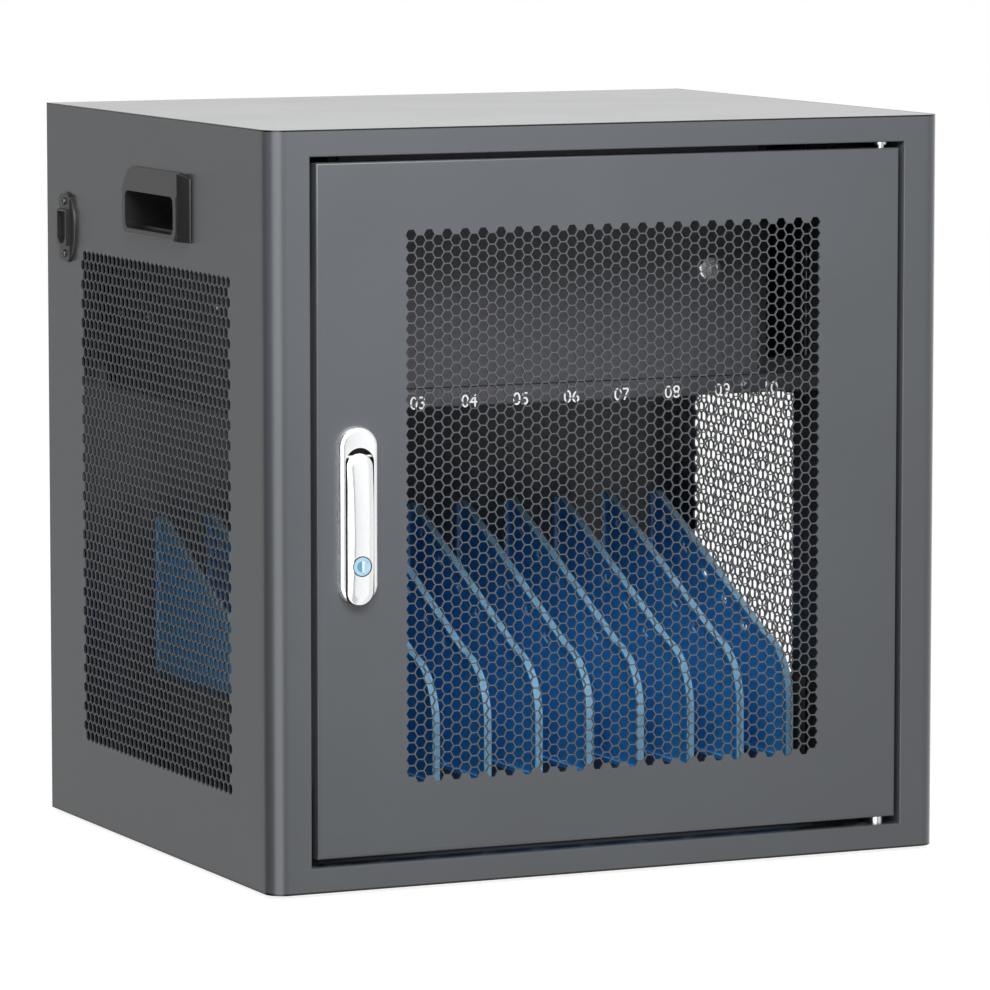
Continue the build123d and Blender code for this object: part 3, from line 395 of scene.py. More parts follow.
class Sockets:
    """Adds nodes to a tree and wires them with few words."""

    def __init__(self, tree: bpy.types.NodeTree) -> None:
        """Starts on a tree."""
        self.tree = tree

    def add(
        self, kind: str, feeds: dict[str | int, object] | None = None, **values: object
    ) -> bpy.types.Node:
        """Adds a node, sets its properties and feeds its inputs.

        Args:
            kind: The node's type.
            feeds: Input name or number to a socket to link or a value to set.
            **values: The node's properties.

        Returns:
            The node.
        """
        node = self.tree.nodes.new(kind)
        for key, value in values.items():
            setattr(node, key, value)
        for key, value in (feeds or {}).items():
            if isinstance(value, bpy.types.NodeSocket):
                self.join(value, node.inputs[key])
            else:
                node.inputs[key].default_value = value
        return node

    def join(self, source: bpy.types.NodeSocket, target: bpy.types.NodeSocket) -> None:
        """Links an output to an input."""
        self.tree.links.new(source, target)

    def reckon(self, kind: str, first: object, second: object = 0.0) -> bpy.types.NodeSocket:
        """Adds a Math node of one or two inputs, each a socket or a number."""
        return self.add("ShaderNodeMath", {0: first, 1: second}, operation=kind).outputs[0]

    def mix(
        self, share: object, first: object, second: object, kind: str = "MIX"
    ) -> bpy.types.NodeSocket:
        """Adds a Mix node for two colours.

        Args:
            share: How much of the second comes in.
            first: The first colour.
            second: The second colour.
            kind: How the two are mixed.

        Returns:
            The mixed colour.
        """
        feeds = {"Factor": share, "A": first, "B": second}
        node = self.add("ShaderNodeMix", feeds, data_type="RGBA", blend_type=kind)
        return node.outputs["Result"]

    def blend(self, share: object, first: object, second: object) -> bpy.types.NodeSocket:
        """Mixes two shaders and gives the result."""
        return self.add("ShaderNodeMixShader", {"Fac": share, 1: first, 2: second}).outputs[0]

    def relief(
        self, shader: bpy.types.Node, height: bpy.types.NodeSocket, strength: float, depth: float
    ) -> None:
        """Gives a shader its fine relief.

        Args:
            shader: The shader.
            height: The relief's height.
            strength: How strongly it shows.
            depth: How deep it is.
        """
        feeds = {"Strength": strength, "Distance": depth, "Height": height}
        self.join(self.add("ShaderNodeBump", feeds).outputs["Normal"], shader.inputs["Normal"])


def node_group(
    name: str, inputs: dict[str, tuple[str, float | None]], outputs: dict[str, str]
) -> tuple[bpy.types.NodeTree, Sockets, bpy.types.Node, bpy.types.Node]:
    """Starts a shader node group.

    Args:
        name: The group's name.
        inputs: Socket name to socket type and default value.
        outputs: Socket name to socket type.

    Returns:
        The group, its wiring helper, its input node and its output node.
    """
    group = bpy.data.node_groups.new(name, "ShaderNodeTree")
    for socket, (kind, value) in inputs.items():
        item = group.interface.new_socket(name=socket, in_out="INPUT", socket_type=kind)
        if value is not None:
            item.default_value = value
    for socket, kind in outputs.items():
        group.interface.new_socket(name=socket, in_out="OUTPUT", socket_type=kind)
    wires = Sockets(group)
    return group, wires, wires.add("NodeGroupInput"), wires.add("NodeGroupOutput")


def powder_grain() -> bpy.types.NodeTree:
    """Builds the fine pebbled skin of a baked coat.

    Returns:
        A group with a height for bump and a mottle about one.
    """
    group, wires, entry, leave = node_group(
        "powder_grain",
        {"Vector": ("NodeSocketVector", None), "Scale": ("NodeSocketFloat", 900.0)},
        {"Height": "NodeSocketFloat", "Mottle": "NodeSocketFloat"},
    )
    spot, scale = entry.outputs["Vector"], entry.outputs["Scale"]
    pebbles = wires.add("ShaderNodeTexNoise", {"Detail": 2.0, "Vector": spot, "Scale": scale})
    wires.join(pebbles.outputs["Fac"], leave.inputs["Height"])
    cloud = wires.add("ShaderNodeTexNoise", {"Scale": 9.0, "Detail": 4.0, "Vector": spot})
    spread = wires.add(
        "ShaderNodeMapRange",
        {
            "From Min": 0.3,
            "From Max": 0.7,
            "To Min": 0.96,
            "To Max": 1.04,
            "Value": cloud.outputs["Fac"],
        },
    )
    speck_share = 0.12
    speck = wires.reckon("MULTIPLY", pebbles.outputs["Fac"], speck_share)
    tone = wires.reckon("ADD", spread.outputs["Result"], speck)
    wires.join(wires.reckon("SUBTRACT", tone, speck_share / 2), leave.inputs["Mottle"])
    return group


def fine_scratches() -> bpy.types.NodeTree:
    """Builds the fine lengthwise lines of rolled or brushed metal.

    Returns:
        A group with a height for bump and a roughness factor about one.
    """
    group, wires, entry, leave = node_group(
        "fine_scratches",
        {"Vector": ("NodeSocketVector", None), "Scale": ("NodeSocketFloat", 60.0)},
        {"Height": "NodeSocketFloat", "Gloss": "NodeSocketFloat"},
    )
    stretch = wires.add(
        "ShaderNodeMapping", {"Scale": (40.0, 40.0, 1.0), "Vector": entry.outputs["Vector"]}
    )
    lines = wires.add(
        "ShaderNodeTexNoise",
        {"Detail": 3.0, "Vector": stretch.outputs["Vector"], "Scale": entry.outputs["Scale"]},
    )
    wires.join(lines.outputs["Fac"], leave.inputs["Height"])
    spread = wires.add(
        "ShaderNodeMapRange", {"To Min": 0.75, "To Max": 1.25, "Value": lines.outputs["Fac"]}
    )
    wires.join(spread.outputs["Result"], leave.inputs["Gloss"])
    return group


class Groups:
    """The shared effects, each built once."""

    def __init__(self) -> None:
        """Builds every shared group."""
        self.grain = powder_grain()
        self.scratches = fine_scratches()


def start_material(
    name: str,
) -> tuple[bpy.types.Material, Sockets, bpy.types.Node, bpy.types.Node]:
    """Starts a material.

    Args:
        name: The material's name.

    Returns:
        The material, its wiring helper, its shader and its texture places.
    """
    made = bpy.data.materials.new(name)
    made.use_nodes = True
    wires = Sockets(made.node_tree)
    shader = made.node_tree.nodes["Principled BSDF"]
    return made, wires, shader, wires.add("ShaderNodeTexCoord")


@dataclass(frozen=True)
class Finish:
    """A fine-grained finish: baked coat, moulding or rubber, with optional painted light and shade.
    """

    name: str
    colour: Triple
    roughness: float
    grain_scale: float = 900.0
    grain_depth: float = 0.02 * MM
    grain_strength: float = 0.6
    # Colour of a painted highlight on the thin edges, if any.
    rim: Triple | None = None
    # Painted shade in the joints: the top line's height, the foot line's height and the shade's
    # colour.
    seam_shade_height: float | None = None
    foot_seam_shade: float = 4.4 * MM
    seam_shade_colour: Triple = (0.004, 0.004, 0.004)
    # Strength of a painted glow: the surface gives off light though it is no lamp.
    glow: float = 0.0

    def material(self, groups: Groups) -> bpy.types.Material:
        """Builds the material.

        Args:
            groups: The shared effects.

        Returns:
            The material.
        """
        made, wires, shader, place = start_material(self.name)
        feeds = {"Scale": self.grain_scale, "Vector": place.outputs["Object"]}
        grain = wires.add("ShaderNodeGroup", feeds, node_tree=groups.grain).outputs
        paint = (*self.colour, 1.0)
        # Painted highlight on the rims.
        if self.rim:
            paint = self.paint_rim_highlights(wires, place)
        skin = wires.mix(1.0, paint, grain["Mottle"], "MULTIPLY")
        # Painted shade in the joints at the top and at the foot.
        if self.seam_shade_height:
            skin = self.paint_seam_shade(wires, place, skin)
        wires.join(skin, shader.inputs["Base Color"])
        # Painted glow.
        if self.glow:
            shader.inputs["Emission Color"].default_value = (*self.colour, 1.0)
            shader.inputs["Emission Strength"].default_value = self.glow
        roughness = wires.reckon("MULTIPLY", grain["Mottle"], self.roughness)
        wires.join(roughness, shader.inputs["Roughness"])
        wires.relief(shader, grain["Height"], self.grain_strength, self.grain_depth)
        return made

    def paint_rim_highlights(self, wires: Sockets, place: bpy.types.Node) -> bpy.types.NodeSocket:
        """Paints a paler highlight on the thin edges, which don't look sideways.

        Args:
            wires: The material's wiring helper.
            place: The node with the texture places.

        Returns:
            The coat's colour, with the painted highlight on the edges.
        """
        facing = wires.add("ShaderNodeSeparateXYZ", {0: place.outputs["Normal"]})
        across = wires.reckon("ABSOLUTE", facing.outputs["X"])
        edge = wires.reckon("LESS_THAN", across, STEEP)
        return wires.mix(edge, (*self.colour, 1.0), (*self.rim, 1.0))

    def paint_seam_shade(
        self, wires: Sockets, place: bpy.types.Node, skin: bpy.types.NodeSocket
    ) -> bpy.types.NodeSocket:
        """Paints shade into the joints below the top tray's edge and at the foot.

        Args:
            wires: The material's wiring helper.
            place: The node with the texture places.
            skin: The colour without the painted shade.

        Returns:
            The colour with the painted shade in the joints.
        """
        # The joints are real; their near-black darkness is painted shade.
        spot = wires.add("ShaderNodeSeparateXYZ", {0: place.outputs["Object"]})
        facing = wires.add("ShaderNodeSeparateXYZ", {0: place.outputs["Normal"]})
        high = wires.reckon("GREATER_THAN", spot.outputs["Z"], self.seam_shade_height)
        foot = wires.reckon("LESS_THAN", spot.outputs["Z"], self.foot_seam_shade)
        shaded_seams = wires.reckon("MAXIMUM", high, foot)
        upright = wires.reckon("LESS_THAN", facing.outputs["Z"], STEEP)
        share = wires.reckon("MULTIPLY", shaded_seams, upright)
        return wires.mix(share, skin, (*self.seam_shade_colour, 1.0))


@dataclass(frozen=True)
class Metal:
    """A bare or plated metal with fine lengthwise lines."""

    name: str
    colour: Triple
    roughness: float
    line_depth: float = 0.004 * MM
    line_strength: float = 0.4
    mottle: float = 0.5
    mottle_scale: float = 300.0

    def material(self, groups: Groups) -> bpy.types.Material:
        """Builds the material.

        Args:
            groups: The shared effects.

        Returns:
            The material.
        """
        made, wires, shader, place = start_material(self.name)
        shader.inputs["Metallic"].default_value = 1.0
        spot = place.outputs["Object"]
        lines = wires.add("ShaderNodeGroup", {"Vector": spot}, node_tree=groups.scratches).outputs
        feeds = {"Scale": self.mottle_scale, "Vector": spot}
        grain = wires.add("ShaderNodeGroup", feeds, node_tree=groups.grain).outputs
        tint = wires.mix(self.mottle, (*self.colour, 1.0), grain["Mottle"], "MULTIPLY")
        wires.join(tint, shader.inputs["Base Color"])
        roughness = wires.reckon("MULTIPLY", lines["Gloss"], self.roughness)
        wires.join(roughness, shader.inputs["Roughness"])
        wires.relief(shader, lines["Height"], self.line_strength, self.line_depth)
        return made


class Palette:
    """Every finish of the cabinet, built once."""

    def __init__(self, groups: Groups) -> None:
        """Builds the finishes.

        Args:
            groups: The shared effects.
        """
        # The case coat carries a painted shade line at its top joint and at its foot.
        self.case = Finish(
            "case_grey_coat", (0.088, 0.095, 0.105), 0.25, seam_shade_height=551.8 * MM
        ).material(groups)
        self.cover = Finish("cover_grey_coat", (0.085, 0.085, 0.098), 0.55).material(groups)
        self.inner = Finish("inner_black_coat", (0.020, 0.020, 0.022), 0.6).material(groups)
        self.blue = Finish(
            "divider_blue_coat",
            (0.050, 0.420, 0.950),
            0.30,
            grain_scale=500.0,
            # Painted highlight on the lit rims of the dividers.
            rim=(0.36, 0.70, 1.0),
        ).material(groups)
        self.moulding = Finish(
            "black_moulding", (0.026, 0.026, 0.026), 0.36, grain_scale=1800.0
        ).material(groups)
        # Near black standing for the shade in recesses and gaps: painted shade.
        self.hollow_shade = Finish("shadow_black", (0.006, 0.006, 0.006), 0.7).material(groups)
        self.strip = Finish("outlet_strip_black", (0.03, 0.03, 0.033), 0.45).material(groups)
        self.outlet = Finish("outlet_face_grey", (0.36, 0.36, 0.37), 0.4).material(groups)
        self.rubber = Finish("foot_rubber", (0.015, 0.015, 0.015), 0.8).material(groups)
        # The print has a painted glow, so it reads white in the dark bay.
        self.print = Finish("white_print", (0.9, 0.9, 0.9), 0.5, glow=0.35).material(groups)
        self.satin = Metal("satin_chrome", (0.93, 0.94, 0.95), 0.26).material(groups)
        self.tinted = Metal("tinted_plug", (0.50, 0.74, 0.86), 0.28).material(groups)
        # A darker copy of the plug's tint: painted shade in the keyway's half-round recess.
        self.plug_shade = Metal("key_shutter", (0.16, 0.42, 0.62), 0.3).material(groups)
        self.dark_steel = Metal("dark_steel", (0.12, 0.12, 0.12), 0.4).material(groups)
        self.steel = Metal("plain_steel", (0.62, 0.63, 0.64), 0.32).material(groups)
        self.contact = Metal("contact_metal", (0.80, 0.78, 0.72), 0.25).material(groups)

    def by_slot(self) -> dict[str, bpy.types.Material]:
        """Gives the finish of each material slot of the record."""
        return {
            "case_grey": self.case,
            "inner_black": self.inner,
            "divider_blue": self.blue,
            "black_moulding": self.moulding,
            "satin_chrome": self.satin,
            "plug_steel": self.tinted,
            "plain_steel": self.steel,
            "contact_metal": self.contact,
            "outlet_body": self.strip,
            "outlet_face": self.outlet,
            "foot_rubber": self.rubber,
        }


@dataclass(frozen=True)
class Honeycomb:
    """A field of hexagonal holes, in columns a half pitch apart in height."""

    columns: int
    cells: int
    centre: Point
    pitch: float
    squeeze: float
    strand: float = 0.85 * MM
    weld: float = 0.05 * MM

    @property
    def step(self) -> float:
        """The distance from one column to the next."""
        return self.pitch * math.cos(math.radians(30)) * self.squeeze

    @property
    def radius(self) -> float:
        """The distance from a cell's middle to its corners."""
        return self.pitch / 2 / math.cos(math.radians(30))

    def lattice(self, name: str, first_high: bool) -> Workpiece:
        """Models the field as whole cells, still without holes.

        Args:
            name: The piece's name.
            first_high: Whether the first column is the higher one.

        Returns:
            The piece, in edit mode, with the field about its centre.
        """
        piece = Workpiece.disc(name, self.radius, 6, math.radians(30))
        bpy.ops.transform.resize(value=(self.squeeze, 1.0, 1.0))
        lift = -self.pitch / 2 if first_high else self.pitch / 2
        bpy.ops.mesh.select_all(action="SELECT")
        bpy.ops.mesh.duplicate_move(TRANSFORM_OT_translate={"value": (self.step, lift, 0.0)})
        pairs = (self.columns + 1) // 2
        for count, shift in ((pairs, (2 * self.step, 0, 0)), (self.cells, (0, self.pitch, 0))):
            piece.modify(
                "ARRAY",
                count=count,
                use_relative_offset=False,
                use_constant_offset=True,
                constant_offset_displace=shift,
            )
        bpy.ops.object.mode_set(mode="EDIT")
        last = (self.columns - 0.5) * self.step
        piece.pick(Part.FACE, lambda face: face.calc_center_median().x > last)
        bpy.ops.mesh.delete(type="FACE")
        bpy.ops.mesh.select_all(action="SELECT")
        bpy.ops.mesh.remove_doubles(threshold=self.weld)
        width = (self.columns - 1) * self.step
        height = (self.cells - 1) * self.pitch + lift
        x, y = self.centre
        piece.move((x - width / 2, y - height / 2, 0.0))
        return piece


def draw_outline(span: Span, margin: float = 0.0) -> None:
    """Draws a rectangle's outline into the mesh that is being edited.

    Args:
        span: Two opposite corners.
        margin: How far inside a second outline is drawn, where there is one.
    """
    (x0, y0), (x1, y1) = span
    middle = ((x0 + x1) / 2, (y0 + y1) / 2, 0.0)
    bpy.ops.mesh.select_all(action="DESELECT")
    bpy.ops.mesh.primitive_plane_add(size=1.0, location=middle)
    bpy.ops.transform.resize(value=(x1 - x0, y1 - y0, 1.0), center_override=middle)
    if margin:
        bpy.ops.mesh.inset(thickness=margin)
    bpy.ops.mesh.delete(type="ONLY_FACE")


@dataclass
class PerforatedSheet:
    """A steel sheet with a honeycomb field, plain margins and other cut-outs."""

    name: str
    span: Span
    comb: Honeycomb
    first_high: bool = True
    cutouts: tuple[Span, ...] = ()
    margin: float = 4.0 * MM

    def flat(self) -> Workpiece:
        """Models the flat sheet with all its holes, one face thick.

        Returns:
            The piece, in edit mode, with its face up.
        """
        piece = self.comb.lattice(self.name, self.first_high)
        (x0, y0), (x1, y1) = self.span
        draw_outline(self.span, self.margin)
        for cutout in self.cutouts:
            draw_outline(cutout)

        def open_inside(edge: bmesh.types.BMEdge) -> bool:
            """Tells whether an edge inside the outline lacks a face."""
            return len(edge.link_faces) < 2 and all(
                x0 + HAIR < vert.co.x < x1 - HAIR and y0 + HAIR < vert.co.y < y1 - HAIR
                for vert in edge.verts
            )

        piece.pick(Part.EDGE, open_inside)
        bpy.ops.mesh.fill(use_beauty=True)
        piece.pick(Part.FACE, lambda face: len(face.verts) == 6)
        bpy.ops.mesh.inset(thickness=self.comb.strand / 2, use_individual=True)
        bpy.ops.mesh.delete(type="FACE")
        piece.face_up()
        return piece

    def fold(self, piece: Workpiece, depth: float, radius: float) -> None:
        """Folds all four margins back and rounds the folds.

        Args:
            piece: The flat sheet.
            depth: How far back the folds reach.
            radius: How wide the rounding is.
        """
        (x0, y0), (x1, y1) = self.span

        def rim(edge: bmesh.types.BMEdge) -> bool:
            """Tells whether an edge lies on the sheet's outline."""
            first, second = (vert.co for vert in edge.verts)
            if abs(first.z) > HAIR or abs(second.z) > HAIR:
                return False
            across = any(abs(first.x - x) < HAIR and abs(second.x - x) < HAIR for x in (x0, x1))
            along = any(abs(first.y - y) < HAIR and abs(second.y - y) < HAIR for y in (y0, y1))
            return across or along

        piece.pick(Part.EDGE, rim)
        piece.extrude((0.0, 0.0, -depth))
        piece.pick(Part.EDGE, rim)
        piece.bevel(radius, 4)
        piece.face_up()


@dataclass
class Case:
    """The painted outer case: wrapped front frame and both side sheets."""

    palette: Palette
    wrap_radius: float = 14.0 * MM
    wrap_depth: float = 20.0 * MM
    fold_depth: float = 18.0 * MM
    fold_radius: float = 1.5 * MM
    stile: float = 31.5 * MM
    rail_top: float = 19.5 * MM
    rail_bottom: float = 18.5 * MM
    side_rows: int = 51
    side_cells: int = 34
    side_field_depth: float = 224.0 * MM
    side_field_height: float = 255.0 * MM
    side_pitch: float = 8.69 * MM
    side_squeeze: float = 0.982
    right_extra_cells: int = 4
    cut_room: float = 0.5 * MM
    cup_body: Point = (100.0 * MM, 40.9 * MM)
    inlet_body: Point = (19.5 * MM, 27.5 * MM)

    def front_frame(self) -> None:
        """Models the front frame that wraps round both front corners."""
        low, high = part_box("front_frame")
        x0, x1, z0, z1 = low.x, high.x, low.z, high.z
        piece = Workpiece.rectangle("front_wrap", ((x0, z0), (x1, z1)))
        left, right = x0 + self.stile, x1 - self.stile
        under, over = z0 + self.rail_bottom, z1 - self.rail_top
        for x in (left, right):
            piece.cut((x, 0.0, 0.0), (1.0, 0.0, 0.0))
        for z in (under, over):
            piece.cut((0.0, z, 0.0), (0.0, 1.0, 0.0))

        def middle_face(face: bmesh.types.BMFace) -> bool:
            """Tells whether a face lies where the door goes."""
            spot = face.calc_center_median()
            return left < spot.x < right and under < spot.y < over

        def opening(place: Vector) -> bool:
            """Tells whether a place lies on the door opening."""
            return (
                abs(place.z) < HAIR
                and left - HAIR < place.x < right + HAIR
                and under - HAIR < place.y < over + HAIR
            )

        def corner(place: Vector) -> bool:
            """Tells whether a place lies on an upright front corner."""
            return abs(place.z) < HAIR and min(abs(place.x - x0), abs(place.x - x1)) < HAIR

        piece.pick(Part.FACE, middle_face)
        bpy.ops.mesh.delete(type="FACE")
        piece.pick_edges(opening)
        piece.extrude((0.0, 0.0, -self.fold_depth))
        piece.pick_edges(corner)
        piece.extrude((0.0, 0.0, -self.wrap_depth))
        piece.pick_edges(corner)
        piece.bevel(self.wrap_radius, 14)
        piece.pick_edges(opening)
        piece.bevel(self.fold_radius, 4)
        piece.face_up()
        piece.thicken(SHEET)
        piece.place(stand(View.FRONT, low.y))
        ride(piece.finish(self.palette.case), "cabinet", "case_grey", "front_frame")

    def side_sheet(self, side: Side) -> None:
        """Models one whole side sheet, with its grille and cut-outs.

        Args:
            side: The flank that the sheet closes.
        """
        panel, upper = (f"{side.name.lower()}_side_{part}" for part in ("panel", "upper"))
        low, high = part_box(panel)
        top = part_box(upper)[1].z
        turn = -side.value
        foot, head = sorted((turn * low.z, turn * top))
        cuts = [self.cutout(f"{side.name.lower()}_handle_cup", turn, self.cup_body)]
        if side is Side.LEFT:
            cuts.append(self.cutout("power_inlet", turn, self.inlet_body))
            extra, view, face = 0, View.LEFT, low.x
        else:
            extra, view, face = self.right_extra_cells, View.RIGHT, high.x
        depth = self.side_field_depth + extra * self.side_pitch / 2
        centre = (turn * self.side_field_height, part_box("front_frame")[0].y + depth)
        cells = self.side_cells + extra
        sheet = PerforatedSheet(
            f"{side.name.lower()}_side_sheet",
            ((foot, low.y), (head, high.y)),
            Honeycomb(self.side_rows, cells, centre, self.side_pitch, self.side_squeeze),
            first_high=False,
            cutouts=tuple(cuts),
        )
        piece = sheet.flat()
        piece.thicken(SHEET)
        piece.place(stand(view, face))
        ride(piece.finish(self.palette.case), "cabinet", "case_grey", panel, upper)

    def cutout(self, node: str, turn: int, body: Point) -> Span:
        """Gives the cut-out that a moulding needs, in the side's own axes.

        Args:
            node: The moulding's node.
            turn: Which way the side's first axis runs up.
            body: The moulding's depth and height where it passes the sheet.

        Returns:
            Two opposite corners.
        """
        middle = middle_of(node)
        up, back = turn * middle.z, middle.y
        half_up = body[1] / 2 + self.cut_room
        half_back = body[0] / 2 + self.cut_room
        return ((up - half_up, back - half_back), (up + half_up, back + half_back))

    def build(self) -> None:
        """Models the whole case."""
        self.front_frame()
        for side in Side:
            self.side_sheet(side)


@dataclass
class Door:
    """The door: folded tray with its honeycomb field."""

    palette: Palette
    fold_depth: float = 18.0 * MM
    fold_radius: float = 1.4 * MM
    field_at: Point = (2.2 * MM, 279.4 * MM)
    count: int = 47
    pitch: float = 8.45 * MM
    squeeze: float = 0.970
    barrel_room: float = 19.0 * MM
    barrel_at: Point = (-204.4 * MM, 240.0 * MM)

    def build(self) -> None:
        """Models the door tray."""
        low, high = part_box("door_panel")
        x, z = self.barrel_at
        half = self.barrel_room / 2
        sheet = PerforatedSheet(
            "door_tray",
            ((low.x, low.z), (high.x, high.z)),
            Honeycomb(self.count, self.count, self.field_at, self.pitch, self.squeeze),
            cutouts=(((x - half, z - half), (x + half, z + half)),),
        )
        piece = sheet.flat()
        sheet.fold(piece, self.fold_depth, self.fold_radius)
        piece.thicken(SHEET)
        piece.place(stand(View.FRONT, low.y))
        ride(piece.finish(self.palette.case), "door", "case_grey", "door_panel")


@dataclass
class SwingLock:
    """The satin lock plate, its bowed lever and the front of the key barrel."""

    palette: Palette
    end_sides: int = 48
    plate_edge: float = 4.2 * MM
    plate_bore_gap: float = 2.5 * MM
    lever_facet: float = 4.4 * MM
    facet_drop: float = 1.9 * MM
    facet_rounding: float = 0.7 * MM
    face_rounding: float = 0.9 * MM
    recess_gap: float = 1.0 * MM
    recess_top_gap: float = 4.0 * MM
    recess_depth: float = 5.9 * MM
    unshaded_rim: float = 0.2 * MM
    shade_reach: float = 0.02 * MM
    lever_back: float = 2.0 * MM
    bow: Triple = (8.0 * MM, 11.0 * MM, 7.2 * MM)
    bow_steps: int = 36
    plug_shade_radius: float = 4.0 * MM
    plug_shade_height: float = 0.25 * MM
    bar_low: Triple = (-0.2 * MM, -3.8 * MM, -0.3 * MM)
    bar_high: Triple = (1.6 * MM, 3.8 * MM, 0.4 * MM)
    ring_overlap: float = 0.45 * MM
    ring_width: float = 0.75 * MM
    ring_height: float = 0.12 * MM

    def slot_shape(self, name: str, centre: Point, width: float, length: float) -> Workpiece:
        """Starts a flat plate with round ends.

        Args:
            name: The piece's name.
            centre: Its middle, as width and height.
            width: Its width, which is also its ends' diameter.
            length: Its overall height.

        Returns:
            The piece, in edit mode.
        """
        piece = Workpiece.disc(name, width / 2, self.end_sides)
        rise = (length - width) / 2
        piece.pick_verts(lambda place: place.y > HAIR)
        piece.move((0.0, rise, 0.0))
        piece.pick_verts(lambda place: place.y < -HAIR)
        piece.move((0.0, -rise, 0.0))
        piece.pick_verts(lambda place: abs(place.y) <= HAIR)
        bpy.ops.mesh.dissolve_verts()
        bpy.ops.mesh.select_all(action="SELECT")
        piece.move((*centre, 0.0))
        return piece

    def plate(self) -> None:
        """Models the lock plate with its lever recess, open at the foot, and painted shade in it."""
        low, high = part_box("lock_escutcheon")
        lever_low, lever_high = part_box("lock_lever")
        x, z = (low.x + high.x) / 2, (low.z + high.z) / 2
        thick = high.y - low.y
        piece = self.slot_shape("lock_plate", (x, z), high.x - low.x, high.z - low.z)
        piece.pad(thick, self.plate_edge, 8)
        foot = lever_low.z - self.recess_gap
        head = lever_high.z + self.recess_top_gap
        width = lever_high.x - lever_low.x + 2 * self.recess_gap
        cutter = self.slot_shape("recess", (x, (foot + head) / 2), width, head - foot)
        cutter.solid(2 * thick, (0.0, 0.0, thick - self.recess_depth))
        cutter.outward()
        piece.carve(cutter)
        bore = self.barrel_radius() + self.plate_bore_gap
        piece.drill((x, middle_of("lock_barrel").z), bore, -thick, 3 * thick)
        plate = piece.finish(self.palette.satin, 35.0)
        # Painted shade: the recess's walls and floor take the near-black finish, all but a thin rim
        # at the top.
        plate.data.materials.append(self.palette.hollow_shade)
        reach = (head - foot) / 2 - width / 2
        for face in plate.data.polygons:
            spot = face.center
            off = max(abs(spot.y - (foot + head) / 2) - reach, 0.0)
            inside = math.hypot(spot.x - x, off) < width / 2 + self.shade_reach
            if inside and spot.z < thick - self.unshaded_rim:
                face.material_index = 1
        piece.place(stand(View.FRONT, high.y))
        ride(plate, "door", "satin_chrome", "lock_escutcheon")

    def lever(self) -> None:
        """Models the bowed lever with its sloping side facets."""
        low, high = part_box("lock_lever")
        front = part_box("door_panel")[0].y
        x, z = (low.x + high.x) / 2, (low.z + high.z) / 2
        piece = self.slot_shape("lock_lever_skin", (x, z), high.x - low.x, high.z - low.z)
        crest = self.bow[1]
        full = crest - self.lever_back
        piece.solid(full - self.facet_drop, (0.0, 0.0, self.lever_back))

        def front_face(face: bmesh.types.BMFace) -> bool:
            """Tells whether a face is the lever's flat front."""
            return face.normal.z > STRAIGHT and face.calc_center_median().z > full / 2

        piece.pick(Part.FACE, front_face)
        bpy.ops.mesh.inset(thickness=self.lever_facet, depth=self.facet_drop)
        facet_foot = self.lever_back + full - self.facet_drop
        piece.pick_edges(lambda place: abs(place.z - facet_foot) < HAIR)
        piece.bevel(self.facet_rounding, 3)
        piece.pick_edges(lambda place: abs(place.z - crest) < HAIR)
        piece.bevel(self.face_rounding, 3)
        for step in range(1, self.bow_steps):
            height = low.z + (high.z - low.z) * step / self.bow_steps
            piece.cut((0.0, height, 0.0), (0.0, 1.0, 0.0))
        piece.outward()
        self.bow_lever(piece, low.z, high.z)
        piece.drill((x, middle_of("lock_barrel").z), self.barrel_radius(), 0.0, 2 * crest)
        piece.place(stand(View.FRONT, front))
        ride(piece.finish(self.palette.satin, 25.0), "lever", "satin_chrome", "lock_lever")

    def barrel_radius(self) -> float:
        """Gives the radius of the key barrel."""
        low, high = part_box("lock_barrel")
        return (high.x - low.x) / 2

    def bow_lever(self, piece: Workpiece, foot: float, head: float) -> None:
        """Bows the lever's face along its length, and leaves its back flat.

        Args:
            piece: The lever, still flat.
            foot: The height of its lower end.
            head: The height of its upper end.
        """
        mesh = bmesh.from_edit_mesh(piece.obj.data)
        at_foot, at_middle, at_head = self.bow
        for vert in mesh.verts:
            along = (vert.co.y - foot) / (head - foot)
            proud = (
                at_foot * (1 - along) * (1 - 2 * along)
                + at_middle * 4 * along * (1 - along)
                + at_head * along * (2 * along - 1)
            )
            share = (vert.co.z - self.lever_back) / (at_middle - self.lever_back)
            vert.co.z -= (at_middle - proud) * max(share, 0.0)
        bmesh.update_edit_mesh(piece.obj.data)

    def on_front(self, node: str) -> Matrix:
        """Gives the matrix that sets a flat drawing on the front of a node.

        Args:
            node: The node, round and looking forwards.

        Returns:
            A turn and a move to the middle of its front.
        """
        middle = middle_of(node)
        spot = Matrix.Translation((middle.x, 0.0, middle.z))
        return spot @ stand(View.FRONT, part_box(node)[0].y)

    def keyway(self) -> None:
        """Models the half-round disc of painted shade and the bright bar of the keyway."""
        spot = self.on_front("lock_plug")
        edge = self.bar_low[0]
        # The half-round disc is painted shade in the keyway.
        piece = Workpiece.disc("key_shutter", self.plug_shade_radius, 32)
        piece.cut((edge, 0.0, 0.0), (1.0, 0.0, 0.0))
        piece.pick_verts(lambda place: place.x > edge / 2)
        bpy.ops.mesh.delete(type="VERT")
        piece.solid(self.plug_shade_height)
        piece.outward()
        piece.place(spot)
        ride(piece.finish(self.palette.plug_shade), "key_plug", "plug_steel")
        bar = Workpiece.block("keyway_bar", Vector(self.bar_low), Vector(self.bar_high))
        bar.place(spot)
        ride(bar.finish(self.palette.satin), "key_plug", "plug_steel")

